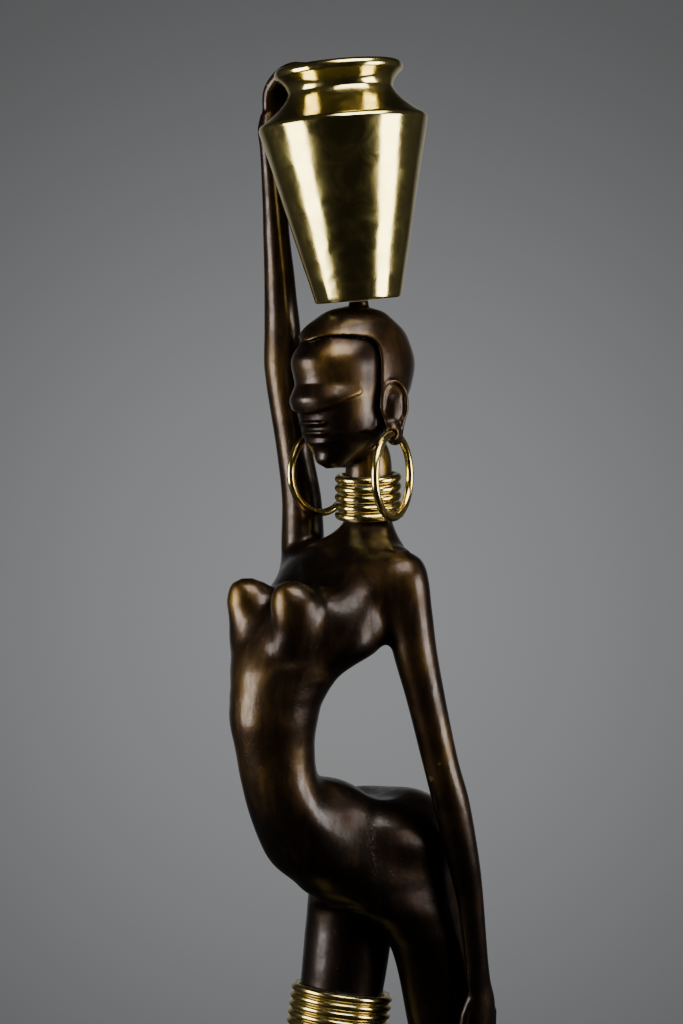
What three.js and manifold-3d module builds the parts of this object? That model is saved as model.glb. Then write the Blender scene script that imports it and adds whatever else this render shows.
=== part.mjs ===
// A standing cast bronze woman who steadies a polished brass jar on her head, on a low base.
// Millimetres, +Z up. She faces -Y, and her left is +X.
import * as THREE from "three";
import { mergeVertices } from "three/addons/utils/BufferGeometryUtils.js";
import Module from "manifold-3d";

const wasm = await Module();
wasm.setup();

// Driving dimensions
const seatGap = 0.3;
const baseWidth = 250;
const baseDepth = 420;
const baseHeight = 34;
const baseCornerRadius = 40;
const baseEdge = 4;
const soleHeight = baseHeight + seatGap;

const jarFoot = new THREE.Vector3(0, 3.7, 1522.6);
const jarTilt = THREE.MathUtils.degToRad(6.6);
const jarFootRadius = 49.5;
const jarShoulderRadius = 97;
const jarShoulderHeight = 202;
const jarNeckRadius = 60;
const jarNeckHeight = 238.5;
const jarLipRadius = 73.5;
const jarHeight = 266.5;
const jarWall = 3;
const stubRadius = 11;
const stubLength = 18;

const hoopRadius = 47;
const hoopWire = 4.5;
const leftHoop = { x: 66, y: -2, z: 1322, turn: 66 };
const rightHoop = { x: -64, y: 0, z: 1325.5, turn: -93 };
const pierceClearance = 0.5;

const neckRingCount = 5;
const neckRingRadius = 34;
const neckRingWire = 4.85;
const neckRingPitch = 10.4;
const neckRingTop = new THREE.Vector3(0, 18.6, 1319.5);
const neckRingForwardTilt = THREE.MathUtils.degToRad(5.9);
const neckRingSideTilt = THREE.MathUtils.degToRad(4.2);

const thighRingCount = 8;
const thighRingRadius = 55.3;
const thighRingWire = 4.7;
const thighRingPitch = 9.8;
const thighRingTop = new THREE.Vector3(-45, 16.5, 714);
const thighRingTilt = THREE.MathUtils.degToRad(10.5);

// Level sections of the body and limbs: height, then centre x and y, then half width in x and in y
const trunkSections = [
  [834, 0, -3, 42, 34],
  [845, 0, -7, 52, 54],
  [860, 0, -14, 58, 65],
  [880, 0, -39, 57, 67],
  [900, 0, -60, 55, 62],
  [940, 0, -89.5, 53.5, 50],
  [980, 0, -111, 44.5, 43.5],
  [1020, 0, -119, 45, 44.5],
  [1050, 0, -120.5, 50, 49],
  [1075, 0, -115, 53, 51.5],
  [1098, 0, -98, 57, 53],
  [1112, 0, -85, 65, 55],
  [1127, 0, -61, 82, 58],
  [1150, 0, -49, 87, 58],
  [1180, 0, -40, 90, 56],
  [1205, 0, -25, 95, 52],
  [1224, 0, -12, 91, 48],
  [1240, 0, -1, 72, 41],
  [1252, 0, 10, 50, 33],
  [1262, 0, 16, 36, 29],
  [1272, 0, 18.4, 27.6, 27.4],
  [1295, 0, 18.6, 27, 27],
  [1345, 0, 17.5, 26.6, 26.6],
  [1378, 0, 2, 24, 24],
];
const pelvisSections = [
  [848, 0, 24, 38, 40],
  [862, 0, 26, 62, 68],
  [882, 0, 27, 80, 86],
  [905, 0, 26, 88, 91],
  [924, 0, 22, 89, 91],
  [936, 0, 18, 83, 87],
  [945, 0, 13, 72, 78],
  [951, 0, 9, 57, 63],
  [955, 0, 6, 36, 40],
];
const skullSections = [
  [1331, 0, -31, 11, 11],
  [1340, 0, -29, 22, 21],
  [1353, 0, -24.5, 36, 34],
  [1366, 0, -20, 46, 45],
  [1380, 0, -17, 51, 52],
  [1398, 0, -12.5, 54.5, 61],
  [1414, 0, -8, 56, 68],
  [1428, 0, -5.5, 57, 72],
  [1452, 0, -5.6, 57, 77.5],
  [1472, 0, -4, 54.5, 69.5],
  [1488, 0, -3.5, 48, 61],
  [1502, 0, -2.5, 37, 44],
  [1511, 0, -0.5, 24, 30],
  [1516, 0, 0, 8, 10],
];
const browSections = [
  [1380, 0, -20, 50, 56],
  [1396, 0, -14, 52, 67],
  [1407, 0, -11, 53, 70],
  [1418, 0, -8.5, 53, 67],
  [1428, 0, -6, 52, 65],
];
const leftLegSections = [
  [100, 44, 156, 19, 20],
  [200, 44, 154, 24, 24],
  [330, 44, 148, 32, 33],
  [430, 44, 138, 33, 34],
  [560, 44, 120, 37, 38],
  [690, 44, 98, 43, 45],
  [768, 43, 83, 45, 51],
  [805, 42.5, 64, 44, 60],
  [832, 41.5, 46, 44, 74],
  [865, 36, 38, 40, 80],
  [900, 32, 32, 27, 52],
];
const rightLegSections = [
  [100, -45, -24, 19, 20],
  [200, -45, -22, 24, 25],
  [330, -45, -24, 32, 33],
  [430, -45, -29, 33, 34],
  [560, -45, -10, 41, 42],
  [650, -45, 4, 46.5, 47],
  [700, -45, 13, 48.2, 48.2],
  [745, -45, 21, 50.3, 50.5],
  [800, -44, 28, 51, 52],
  [850, -42, 32, 46, 52],
];
const leftArmSections = [
  [712, 108, 98, 9, 17],
  [740, 109, 92, 10, 15.5],
  [769, 110, 87, 12.5, 14],
  [805, 112, 80, 14.2, 14.2],
  [841, 114, 73, 15.3, 15.3],
  [888, 116, 60, 18.5, 18.5],
  [958, 115, 41.5, 21, 21],
  [1004, 112, 28, 20.5, 20.5],
  [1072, 106, 12.4, 22, 22],
  [1128, 100, 0.5, 25, 25],
  [1175, 96, -5, 26, 26],
  [1212, 91, -7, 26, 26],
  [1229, 87, -7, 20, 20],
  [1237, 85, -7, 8, 8],
];
const rightArmSections = [
  [1172, -70, -14, 10, 12],
  [1196, -82, -8, 21, 20],
  [1225, -92, -4, 26, 25],
  [1293, -102, 2, 23.6, 23.6],
  [1352, -110, -2.5, 21.5, 21.5],
  [1447, -118, -13.6, 22, 22],
  [1495, -118.5, -14, 21.5, 21.5],
  [1530, -118, -17, 19.5, 19.5],
  [1565, -116, -21, 17.8, 17.8],
  [1600, -114, -26, 16, 16],
  [1640, -112.5, -30, 14.3, 14.8],
  [1680, -111, -34, 13, 14.6],
  [1706, -110.5, -36, 11.8, 15.5],
  [1728, -109.5, -38, 9.5, 17.5],
  [1742, -109, -38, 6, 13],
];
const footSections = [
  [soleHeight, 0, -70, 31, 90],
  [soleHeight + 9, 0, -69, 33, 93],
  [soleHeight + 22, 0, -52, 30, 74],
  [soleHeight + 38, 0, -26, 25, 47],
  [soleHeight + 52, 0, -8, 21, 28],
  [soleHeight + 72, 0, 0, 19, 20],
];
const ribSections = [
  [1060, 0, -116, 14, 16],
  [1072, 0, -117, 33, 35],
  [1085, 0, -117, 43, 43],
  [1098, -2, -115, 51, 48],
  [1112, -4, -111, 57, 50],
  [1130, -9, -104, 62, 49.5],
  [1150, -12, -96, 56, 44],
  [1170, -12, -84, 44, 38],
  [1185, -9, -72, 34, 31],
  [1197, -4, -58, 18, 16],
];
const breastSections = [
  [1118, 32, -104, 6, 8],
  [1135, 37, -112, 18, 22],
  [1154, 39, -116, 25, 28],
  [1178, 40, -118.5, 27.5, 30.5],
  [1190, 40, -120.5, 24.5, 27.5],
  [1201, 40, -124.5, 16, 19.5],
  [1206.5, 40, -127, 5, 7],
];
const leftButtock = { x: 36, y: 60, z: 884, radii: [46, 59, 64] };
const rightButtock = { x: -36, y: 50, z: 884, radii: [46, 58, 64] };
const leftFlank = { x: 52, y: -67, z: 1151, radii: [35, 31, 38] };
const rightFlank = { x: -52, y: -67, z: 1151, radii: [35, 31, 38] };
const waist = { x: 0, y: -46, z: 944, radii: [38, 30, 24] };
const fleshBlend = 26;
const breastBlend = 32;
const pelvisBlend = 42;
const crotchBlend = 5;
const fingerSides = 6;

// A cast-metal material in the colour, roughness and metalness given
function metal(color, roughness) {
  return new THREE.MeshStandardMaterial({ color, roughness, metalness: 1 });
}

// The same sections on her other side
function leftToRight(sections) {
  return sections.map(([z, x, y, halfX, halfY]) => [z, -x, y, halfX, halfY]);
}

// The section at place t along a list of sections, by smooth curves through all of them
function sectionAt(sections, t) {
  const last = sections.length - 1;
  const index = Math.min(Math.floor(t), last - 1);
  const u = t - index;
  const from = sections[index];
  const to = sections[index + 1];
  const span = to[0] - from[0];
  const slope = (i, k) => {
    const a = sections[Math.max(i - 1, 0)];
    const b = sections[Math.min(i + 1, last)];
    return (b[k] - a[k]) / (b[0] - a[0]);
  };
  return from.map((value, k) => {
    if (k === 0) return value + span * u;
    const rise = slope(index, k) * span;
    const fall = slope(index + 1, k) * span;
    const bend = (2 * u ** 3 - 3 * u ** 2 + 1) * value + (u ** 3 - 2 * u ** 2 + u) * rise;
    return bend + (3 * u ** 2 - 2 * u ** 3) * to[k] + (u ** 3 - u ** 2) * fall;
  });
}

// A closed limb through level elliptical sections
function limb(sections, sides) {
  const rows = sections.length - 1;
  const geometry = new THREE.CylinderGeometry(1, 1, 1, sides, rows);
  const position = geometry.attributes.position;
  for (let i = 0; i < position.count; i += 1) {
    const row = Math.round((position.getY(i) + 0.5) * rows);
    const [z, x, y, halfX, halfY] = sections[row];
    position.setXYZ(i, x + halfX * position.getZ(i), y + halfY * position.getX(i), z);
  }
  return geometry;
}

// An ellipsoid about a centre
function ball({ x, y, z, radii }, sides = 8) {
  const geometry = new THREE.SphereGeometry(1, sides, Math.round(sides * 0.6));
  geometry.rotateX(Math.PI / 2);
  geometry.scale(...radii);
  geometry.translate(x, y, z);
  return geometry;
}

// A round-ended rod from one point to another
function rod(from, to, radius) {
  const along = to.clone().sub(from);
  const geometry = new THREE.CapsuleGeometry(radius, along.length(), 1, fingerSides);
  const turn = new THREE.Quaternion().setFromUnitVectors(
    new THREE.Vector3(0, 1, 0),
    along.clone().normalize(),
  );
  geometry.applyQuaternion(turn);
  geometry.translate(...from.clone().add(to).multiplyScalar(0.5).toArray());
  return geometry;
}

// A finger of even thickness bent through a row of points
function bentFinger(points, radius) {
  const section = new THREE.Shape();
  section.absarc(0, 0, radius, 0, Math.PI * 2);
  return new THREE.ExtrudeGeometry(section, {
    steps: 8,
    curveSegments: fingerSides / 2,
    extrudePath: new THREE.CatmullRomCurve3(points),
  });
}

// The solid of a closed geometry
function solid(geometry) {
  const bare = geometry.clone();
  bare.deleteAttribute("normal");
  bare.deleteAttribute("uv");
  const merged = mergeVertices(bare, 1e-3);
  const mesh = new wasm.Mesh({
    numProp: 3,
    vertProperties: new Float32Array(merged.attributes.position.array),
    triVerts: new Uint32Array(merged.index.array),
  });
  mesh.merge();
  return new wasm.Manifold(mesh);
}

// One solid out of several closed geometries
function joined(geometries) {
  return geometries.map(solid).reduce((all, next) => all.add(next));
}

// Distance to a limb's skin, negative inside it
function limbDistance(sections, point) {
  const last = sections.length - 1;
  const z = Math.min(Math.max(point.z, sections[0][0]), sections[last][0]);
  const index = Math.min(sections.findLastIndex((section) => section[0] <= z), last - 1);
  const share = (z - sections[index][0]) / (sections[index + 1][0] - sections[index][0]);
  const [, x, y, halfX, halfY] = sectionAt(sections, index + share);
  const dx = point.x - x;
  const dy = point.y - y;
  const reach = Math.hypot(dx / halfX, dy / halfY);
  const slope = Math.hypot(dx / halfX ** 2, dy / halfY ** 2);
  const side = ((reach - 1) * reach) / Math.max(slope, 1e-6);
  return Math.max(side, point.z - sections[last][0], sections[0][0] - point.z);
}

// Distance to a ball's skin, negative inside it
function ballDistance({ x, y, z, radii }, point) {
  const offset = [(point.x - x) / radii[0], (point.y - y) / radii[1], (point.z - z) / radii[2]];
  const reach = Math.hypot(...offset);
  const slope = Math.hypot(...offset.map((value, k) => value / radii[k]));
  return ((reach - 1) * reach) / Math.max(slope, 1e-6);
}

// The nearer of two distances, rounded off over a blend width where they are alike
function blended(a, b, width) {
  const near = Math.max(width - Math.abs(a - b), 0);
  return Math.min(a, b) - (near * near) / (4 * width);
}

// Distance to the body with its limbs run into each other as flesh does
function bodyDistance(point) {
  const ease = (from, to) => THREE.MathUtils.smoothstep(point.z, from, to);
  const thighBlend = crotchBlend + (fleshBlend - crotchBlend) * ease(790, 850);
  const legs = blended(
    limbDistance(leftLegSections, point),
    limbDistance(rightLegSections, point),
    thighBlend,
  );
  const breasts = blended(
    limbDistance(breastSections, point),
    limbDistance(leftToRight(breastSections), point),
    fleshBlend,
  );
  const ribs = limbDistance(ribSections, point);
  const ribbed = blended(limbDistance(trunkSections, point), ribs, fleshBlend);
  const chest = blended(ribbed, breasts, breastBlend);
  const hipped = blended(chest, limbDistance(pelvisSections, point), pelvisBlend);
  const rounded = [leftFlank, rightFlank, waist, leftButtock, rightButtock];
  const trunk = rounded.reduce((all, next) => blended(all, ballDistance(next, point), fleshBlend), hipped);
  const torso = blended(trunk, legs, thighBlend);
  const leftWidth = 1 + fleshBlend * ease(1090, 1150);
  const rightWidth = 1 + fleshBlend * (1 - ease(1245, 1285));
  const withLeft = blended(torso, limbDistance(leftArmSections, point), leftWidth);
  return blended(withLeft, limbDistance(rightArmSections, point), rightWidth);
}

// The body's vertices drawn out onto its rounded skin, so that no limb meets another in a crease
function filleted(manifold) {
  const steps = 4;
  const probe = 0.5;
  const geometry = geometryOf(manifold);
  const position = geometry.attributes.position;
  const point = new THREE.Vector3();
  const slope = new THREE.Vector3();
  for (let i = 0; i < position.count; i += 1) {
    point.fromBufferAttribute(position, i);
    for (let step = 0; step < steps; step += 1) {
      const distance = bodyDistance(point);
      for (const axis of ["x", "y", "z"]) {
        const ahead = point.clone();
        const behind = point.clone();
        ahead[axis] += probe;
        behind[axis] -= probe;
        slope[axis] = (bodyDistance(ahead) - bodyDistance(behind)) / (2 * probe);
      }
      point.addScaledVector(slope, -distance / Math.max(slope.lengthSq(), 0.2));
    }
    position.setXYZ(i, point.x, point.y, point.z);
  }
  return solid(geometry);
}

// The drawn surface of a solid
function geometryOf(manifold) {
  const mesh = manifold.getMesh();
  const geometry = new THREE.BufferGeometry();
  const positions = new THREE.BufferAttribute(new Float32Array(mesh.vertProperties), 3);
  geometry.setAttribute("position", positions);
  geometry.setIndex(new THREE.BufferAttribute(new Uint32Array(mesh.triVerts), 1));
  geometry.computeVertexNormals();
  return geometry;
}

// A ring of round rod about +Z
function ring(radius, wire, sides) {
  const wireSides = 5;
  return new THREE.TorusGeometry(radius, wire, wireSides, sides);
}

// An ear hoop's ring, of the wire thickness given
function hoopRing(wire) {
  return ring(hoopRadius, wire, 22);
}

// A point given around the jar's axis: radius, angle from her right towards her back, height
function aroundJar(radius, degrees, height) {
  const angle = THREE.MathUtils.degToRad(degrees);
  const point = new THREE.Vector3(-radius * Math.cos(angle), radius * Math.sin(angle), height);
  return point.applyAxisAngle(new THREE.Vector3(1, 0, 0), jarTilt).add(jarFoot);
}

// The jar: foot, straight flare, sharp shoulder, short neck and rolled lip, hollow inside
function jarGeometry() {
  const footRound = 2.4;
  const creaseRound = 3;
  const lipDepth = 12;
  const lipDrop = 10;
  const flareStart = jarHeight - 18;
  const [foot, shoulder, neck, lip] = [jarFootRadius, jarShoulderRadius, jarNeckRadius, jarLipRadius];
  const outline = new THREE.Path();
  outline.moveTo(0, 0);
  outline.lineTo(foot - footRound, 0);
  outline.quadraticCurveTo(foot, 0, foot + 0.6, footRound);
  outline.lineTo(shoulder - 0.8, jarShoulderHeight - creaseRound);
  const creaseTop = jarShoulderHeight + creaseRound;
  outline.quadraticCurveTo(shoulder, jarShoulderHeight, shoulder - creaseRound, creaseTop);
  outline.quadraticCurveTo(neck + 5, jarNeckHeight - 14, neck, jarNeckHeight);
  outline.quadraticCurveTo(neck + 1, flareStart, lip - 1, jarHeight - lipDrop);
  outline.quadraticCurveTo(lip + 2, jarHeight - 3, lip - 4, jarHeight);
  outline.quadraticCurveTo(lip - lipDepth + 2, jarHeight, lip - lipDepth, jarHeight - 8);
  outline.quadraticCurveTo(neck - jarWall, flareStart, neck - jarWall, jarNeckHeight);
  outline.lineTo(shoulder - jarWall - creaseRound, jarShoulderHeight);
  outline.lineTo(foot - jarWall, jarWall + 1);
  outline.lineTo(0, jarWall + 1);
  const geometry = new THREE.LatheGeometry(outline.getPoints(2), 28);
  geometry.rotateX(Math.PI / 2);
  return geometry;
}

// The base: a plain slab with round corners and softened edges
function baseGeometry() {
  const halfX = baseWidth / 2 - baseEdge;
  const halfY = baseDepth / 2 - baseEdge;
  const corner = baseCornerRadius - baseEdge;
  const outline = new THREE.Shape();
  outline.moveTo(halfX, -halfY + corner);
  outline.lineTo(halfX, halfY - corner);
  outline.absarc(halfX - corner, halfY - corner, corner, 0, Math.PI / 2);
  outline.absarc(-halfX + corner, halfY - corner, corner, Math.PI / 2, Math.PI);
  outline.absarc(-halfX + corner, -halfY + corner, corner, Math.PI, Math.PI * 1.5);
  outline.absarc(halfX - corner, -halfY + corner, corner, Math.PI * 1.5, Math.PI * 2);
  const geometry = new THREE.ExtrudeGeometry(outline, {
    depth: baseHeight - 2 * baseEdge,
    bevelSize: baseEdge,
    bevelThickness: baseEdge,
    bevelSegments: 1,
    curveSegments: 4,
  });
  geometry.translate(0, 0, baseEdge);
  return geometry;
}

// Level sections drawn outwards all round
function swollen(sections, rise) {
  return sections.map(([z, x, y, halfX, halfY]) => [z, x, y, halfX + rise, halfY + rise]);
}

// A straight prism that stands on an outline in the face's plane and runs forward from a depth
function forwardPrism(outline, from) {
  const depth = 120;
  const geometry = new THREE.ExtrudeGeometry(outline, { depth, bevelEnabled: false, curveSegments: 12 });
  geometry.rotateX(Math.PI / 2);
  geometry.translate(0, from, 0);
  return solid(geometry);
}

// The opening that the face leaves in the cap of hair, with a small peak at its middle
function hairOpening() {
  const [halfWidth, wide, low, temple, hairline, peak] = [40, 72, 1380, 1455, 1479, 1472];
  const opening = new THREE.Shape();
  opening.moveTo(-wide, low);
  opening.lineTo(-wide, temple);
  opening.quadraticCurveTo(-halfWidth - 12, hairline - 9, -halfWidth, hairline);
  opening.quadraticCurveTo(-halfWidth / 2, hairline, 0, peak);
  opening.quadraticCurveTo(halfWidth / 2, hairline, halfWidth, hairline);
  opening.quadraticCurveTo(halfWidth + 12, hairline - 9, wide, temple);
  opening.lineTo(wide, low);
  return opening;
}

// The head: skull and jaw, close cap of hair with a stepped edge, mask-like brow band, lips and chin
function headSolid() {
  const sides = 26;
  const capRise = 3;
  const bandRise = 4.5;
  const faceDepth = -10;
  const band = { height: 1432, halfWidth: 57, halfHeight: 40 };
  const crownFrom = 5;
  const skull = solid(limb(skullSections, sides));
  const cap = solid(limb(swollen(skullSections.slice(crownFrom), capRise), sides));
  const hair = cap.subtract(forwardPrism(hairOpening(), faceDepth));
  const bandOutline = new THREE.Shape();
  bandOutline.absellipse(0, band.height, band.halfWidth, band.halfHeight, 0, Math.PI * 2);
  const brow = solid(limb(swollen(browSections, bandRise), sides));
  const mouth = joined([
    ball({ x: 0, y: -65, z: 1380, radii: [18, 8, 4.5] }),
    ball({ x: 0, y: -60, z: 1360, radii: [16, 8, 4.5] }),
    ball({ x: 0, y: -46, z: 1341, radii: [13, 10, 8] }),
  ]);
  return skull.add(hair).add(brow.intersect(forwardPrism(bandOutline, faceDepth))).add(mouth);
}

// One ear: a raised blade with a hollow, and a long lobe that carries the hoop
function earSolid(side, hoop) {
  const flare = side * THREE.MathUtils.degToRad(22);
  const thickness = 9;
  const centre = { x: side * 61, y: 5, z: 1396 };
  const outline = new THREE.Shape();
  outline.moveTo(-14, -6);
  outline.splineThru([
    new THREE.Vector2(-17, 10),
    new THREE.Vector2(-12, 25),
    new THREE.Vector2(3, 34),
    new THREE.Vector2(15, 24),
    new THREE.Vector2(15, 6),
    new THREE.Vector2(9, -18),
    new THREE.Vector2(4, -32),
    new THREE.Vector2(-6, -30),
    new THREE.Vector2(-10, -18),
  ]);
  const blade = new THREE.ExtrudeGeometry(outline, {
    depth: thickness,
    bevelEnabled: false,
    curveSegments: 2,
  });
  blade.translate(0, 0, -thickness / 2);
  blade.rotateX(Math.PI / 2);
  blade.rotateZ(Math.PI / 2 - flare);
  blade.translate(centre.x, centre.y, centre.z);
  const root = ball({ x: side * 52, y: 4, z: 1400, radii: [14, 11, 24] });
  const lobeHeight = hoop.z + hoopRadius - 1;
  const lobe = ball({ x: hoop.x - side * 1.5, y: hoop.y + 2, z: lobeHeight, radii: [8.5, 8, 11.5] });
  const hollow = ball({ x: side * 67, y: 0, z: 1408, radii: [6, 9, 14] });
  return joined([blade, root, lobe]).subtract(solid(hollow));
}

// One foot under an ankle at x and y: a low wedge with five toes, the big toe on the inner side
function footSolid(x, y, side) {
  const toeCount = 5;
  const toePitch = 12;
  const toeRoot = 130;
  const toeReach = 170;
  const sections = footSections.map(([z, dx, dy, halfX, halfY]) => [z, x + dx, y + dy, halfX, halfY]);
  const parts = [limb(sections, 16)];
  for (let i = 0; i < toeCount; i += 1) {
    const radius = i === 0 ? 8.5 : 6.5 - 0.3 * i;
    const toeX = x + side * toePitch * (i - (toeCount - 1) / 2);
    const from = new THREE.Vector3(toeX, y - toeRoot + 3 * i, soleHeight + radius + 3);
    const to = new THREE.Vector3(toeX, y - toeReach + 5 * i, soleHeight + radius);
    parts.push(rod(from, to, radius));
  }
  return joined(parts);
}

// The raised hand: a flat palm, four fingers bent over the jar's lip, and the thumb behind
function raisedHandSolid() {
  const fingerCount = 4;
  const fingerRadius = 6.9;
  const spread = 9.5;
  const bends = [
    { radius: 111, height: jarHeight - 44, turn: -1, fan: 0.62 },
    { radius: 107, height: jarHeight - 18, turn: -1, fan: 0.7 },
    { radius: 96, height: jarHeight - 4, turn: 1, fan: 0.85 },
    { radius: 81, height: jarHeight + 5, turn: 3, fan: 1 },
    { radius: 66, height: jarHeight + 8, turn: 4, fan: 1 },
    { radius: 53, height: jarHeight + 6.5, turn: 5, fan: 1 },
  ];
  const palmCentre = aroundJar(110, -5, jarHeight - 52);
  const thumb = [aroundJar(111, 6, jarHeight - 61), aroundJar(98, 24, jarHeight - 30)];
  const parts = [ball({ ...palmCentre, radii: [9.5, 21, 30] }, 10), rod(...thumb, 7.5)];
  for (let i = 0; i < fingerCount; i += 1) {
    const side = spread * (i - (fingerCount - 1) / 2);
    const points = bends.map(({ radius, height, turn, fan }) =>
      aroundJar(radius, turn + side * fan, height));
    parts.push(bentFinger(points, fingerRadius));
  }
  return joined(parts);
}

// The hanging hand: palm, four long fingers and a thumb along the thigh
function hangingHandSolid() {
  const fingerCount = 4;
  const fingerPitch = 9.2;
  const fingerLength = 52;
  const root = new THREE.Vector3(107, 100, 700);
  const parts = [
    ball({ x: 107.5, y: 99, z: 712, radii: [10, 20, 30] }, 10),
    rod(new THREE.Vector3(105, 84, 722), new THREE.Vector3(101, 74, 688), 6),
  ];
  for (let i = 0; i < fingerCount; i += 1) {
    const across = (i - (fingerCount - 1) / 2) * fingerPitch;
    const length = fingerLength - 4 * Math.abs(i - 1.4);
    const from = root.clone().add(new THREE.Vector3(0, across, 0));
    const to = root.clone().add(new THREE.Vector3(-4, 4 + across * 0.85, -length));
    parts.push(rod(from, to, 5.6));
  }
  return joined(parts);
}

// A short stub between the crown and the jar's foot
function stubSolid() {
  const stub = new THREE.CylinderGeometry(stubRadius, stubRadius + 1, stubLength, 16);
  stub.rotateX(Math.PI / 2);
  stub.translate(0, 0, -stubLength / 2 - seatGap);
  stub.rotateX(jarTilt);
  stub.translate(...jarFoot.toArray());
  return solid(stub);
}

// Hangs a hoop in its place, turned about the vertical
function placeHoop(object, hoop) {
  object.rotation.set(Math.PI / 2, Math.PI - THREE.MathUtils.degToRad(hoop.turn), 0);
  object.position.set(hoop.x, hoop.y, hoop.z);
}

// The clearance that a hoop needs through its ear lobe
function pierceSolid(hoop) {
  const tool = new THREE.Mesh(hoopRing(hoopWire + pierceClearance));
  placeHoop(tool, hoop);
  tool.updateMatrix();
  return solid(tool.geometry.clone().applyMatrix4(tool.matrix));
}

// The whole cast figure, one solid
function figureGeometry() {
  const body = filleted(joined([
    limb(trunkSections, 22),
    limb(pelvisSections, 22),
    limb(breastSections, 12),
    limb(leftToRight(breastSections), 12),
    ball(leftButtock, 14),
    ball(rightButtock, 14),
    limb(leftLegSections, 14),
    limb(rightLegSections, 14),
    limb(leftArmSections, 12),
    limb(rightArmSections, 12),
  ]));
  let figure = body.add(headSolid());
  figure = figure.add(earSolid(1, leftHoop)).add(earSolid(-1, rightHoop));
  figure = figure.add(footSolid(44, 156, 1)).add(footSolid(-45, -24, -1));
  figure = figure.add(raisedHandSolid()).add(hangingHandSolid()).add(stubSolid());
  figure = solid(simplified(geometryOf(figure)));
  return geometryOf(figure.subtract(pierceSolid(leftHoop)).subtract(pierceSolid(rightHoop)));
}

// The unit normal of a face, with one of its corners moved onto another vertex if told so
function facing(face, points, drop, keep) {
  const corners = face.map((vertex) => points[vertex === drop ? keep : vertex]);
  return new THREE.Triangle(...corners).getNormal(new THREE.Vector3());
}

// Whether the faces around a vertex keep their form when it is drawn onto a neighbour
function mayCollapse(drop, keep, faces, points, length) {
  const sliver = 1.5;
  const flatEnough = Math.cos(THREE.MathUtils.degToRad(14));
  const keepsFacing = Math.cos(THREE.MathUtils.degToRad(40));
  const normals = faces.map((face) => facing(face, points));
  const isFlat = normals.every((normal) => normal.dot(normals[0]) > flatEnough);
  if (length > sliver && !isFlat) return false;
  return faces.every((face, i) => {
    const turned = normals[i].dot(facing(face, points, drop, keep));
    return face.includes(keep) || normals[i].lengthSq() === 0 || turned > keepsFacing;
  });
}

// One pass over a closed surface that draws its short edges together
function collapsePass(faces, points, longest) {
  const around = points.map(() => []);
  faces.forEach((face) => face.forEach((vertex) => around[vertex].push(face)));
  const nextTo = (vertex) => new Set(around[vertex].flat().filter((other) => other !== vertex));
  const settled = new Set();
  for (const face of faces) {
    for (let k = 0; k < 3 && face.length === 3; k += 1) {
      const [keep, drop] = [face[k], face[(k + 1) % 3]];
      const length = points[keep].distanceTo(points[drop]);
      if (length > longest || settled.has(keep) || settled.has(drop)) continue;
      const neighbours = nextTo(drop);
      const shared = [...nextTo(keep)].filter((vertex) => neighbours.has(vertex));
      if (shared.length !== 2 || !mayCollapse(drop, keep, around[drop], points, length)) continue;
      for (const one of around[drop]) {
        if (one.includes(keep)) one.length = 0;
        else one[one.indexOf(drop)] = keep;
      }
      neighbours.forEach((vertex) => settled.add(vertex));
      settled.add(drop);
    }
  }
  return faces.filter((face) => face.length === 3);
}

// The same closed surface without the slivers and small flat faces that joining left
function simplified(geometry) {
  const longestDrawn = 11;
  const position = geometry.attributes.position;
  const points = Array.from({ length: position.count }, (_, i) =>
    new THREE.Vector3().fromBufferAttribute(position, i));
  let faces = Array.from({ length: geometry.index.count / 3 }, (_, i) =>
    [0, 1, 2].map((k) => geometry.index.getX(3 * i + k)));
  let count = Infinity;
  while (faces.length < count) {
    count = faces.length;
    faces = collapsePass(faces, points, longestDrawn);
  }
  const result = new THREE.BufferGeometry().setFromPoints(points);
  result.setIndex(faces.flat());
  return mergeVertices(result.toNonIndexed(), 1e-3);
}

// A named piece
function named(name, geometry, material) {
  const mesh = new THREE.Mesh(geometry, material);
  mesh.name = name;
  return mesh;
}

const sculpture = new THREE.Group();
sculpture.add(named("base", baseGeometry(), metal(0x2a1c14, 0.45)));
sculpture.add(named("figure", figureGeometry(), metal(0x3a2517, 0.38)));

const jar = named("jar", jarGeometry(), metal(0xc9a03c, 0.16));
jar.position.copy(jarFoot);
jar.rotation.x = jarTilt;
sculpture.add(jar);

for (const [name, hoop] of [["earring_left", leftHoop], ["earring_right", rightHoop]]) {
  const earring = named(name, hoopRing(hoopWire), metal(0xc7a044, 0.2));
  placeHoop(earring, hoop);
  sculpture.add(earring);
}

for (let i = 0; i < neckRingCount; i += 1) {
  const wire = ring(neckRingRadius, neckRingWire, 14);
  const neckRing = named(`neck_ring_${i + 1}`, wire, metal(0xc2a35a, 0.22));
  neckRing.position.copy(neckRingTop);
  neckRing.position.z -= neckRingPitch * i;
  neckRing.rotation.set(neckRingForwardTilt, neckRingSideTilt, 0);
  sculpture.add(neckRing);
}

const thighRings = new THREE.Group();
thighRings.position.copy(thighRingTop);
thighRings.rotation.x = -thighRingTilt;
for (let i = 0; i < thighRingCount; i += 1) {
  const wire = ring(thighRingRadius, thighRingWire, 16);
  const thighRing = named(`thigh_ring_${i + 1}`, wire, metal(0xc2a35a, 0.22));
  thighRing.position.z = -thighRingPitch * i;
  thighRings.add(thighRing);
}
sculpture.add(thighRings);

export default sculpture;
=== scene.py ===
import math

import bpy
import numpy as np
from mathutils import Matrix, Vector


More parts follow.
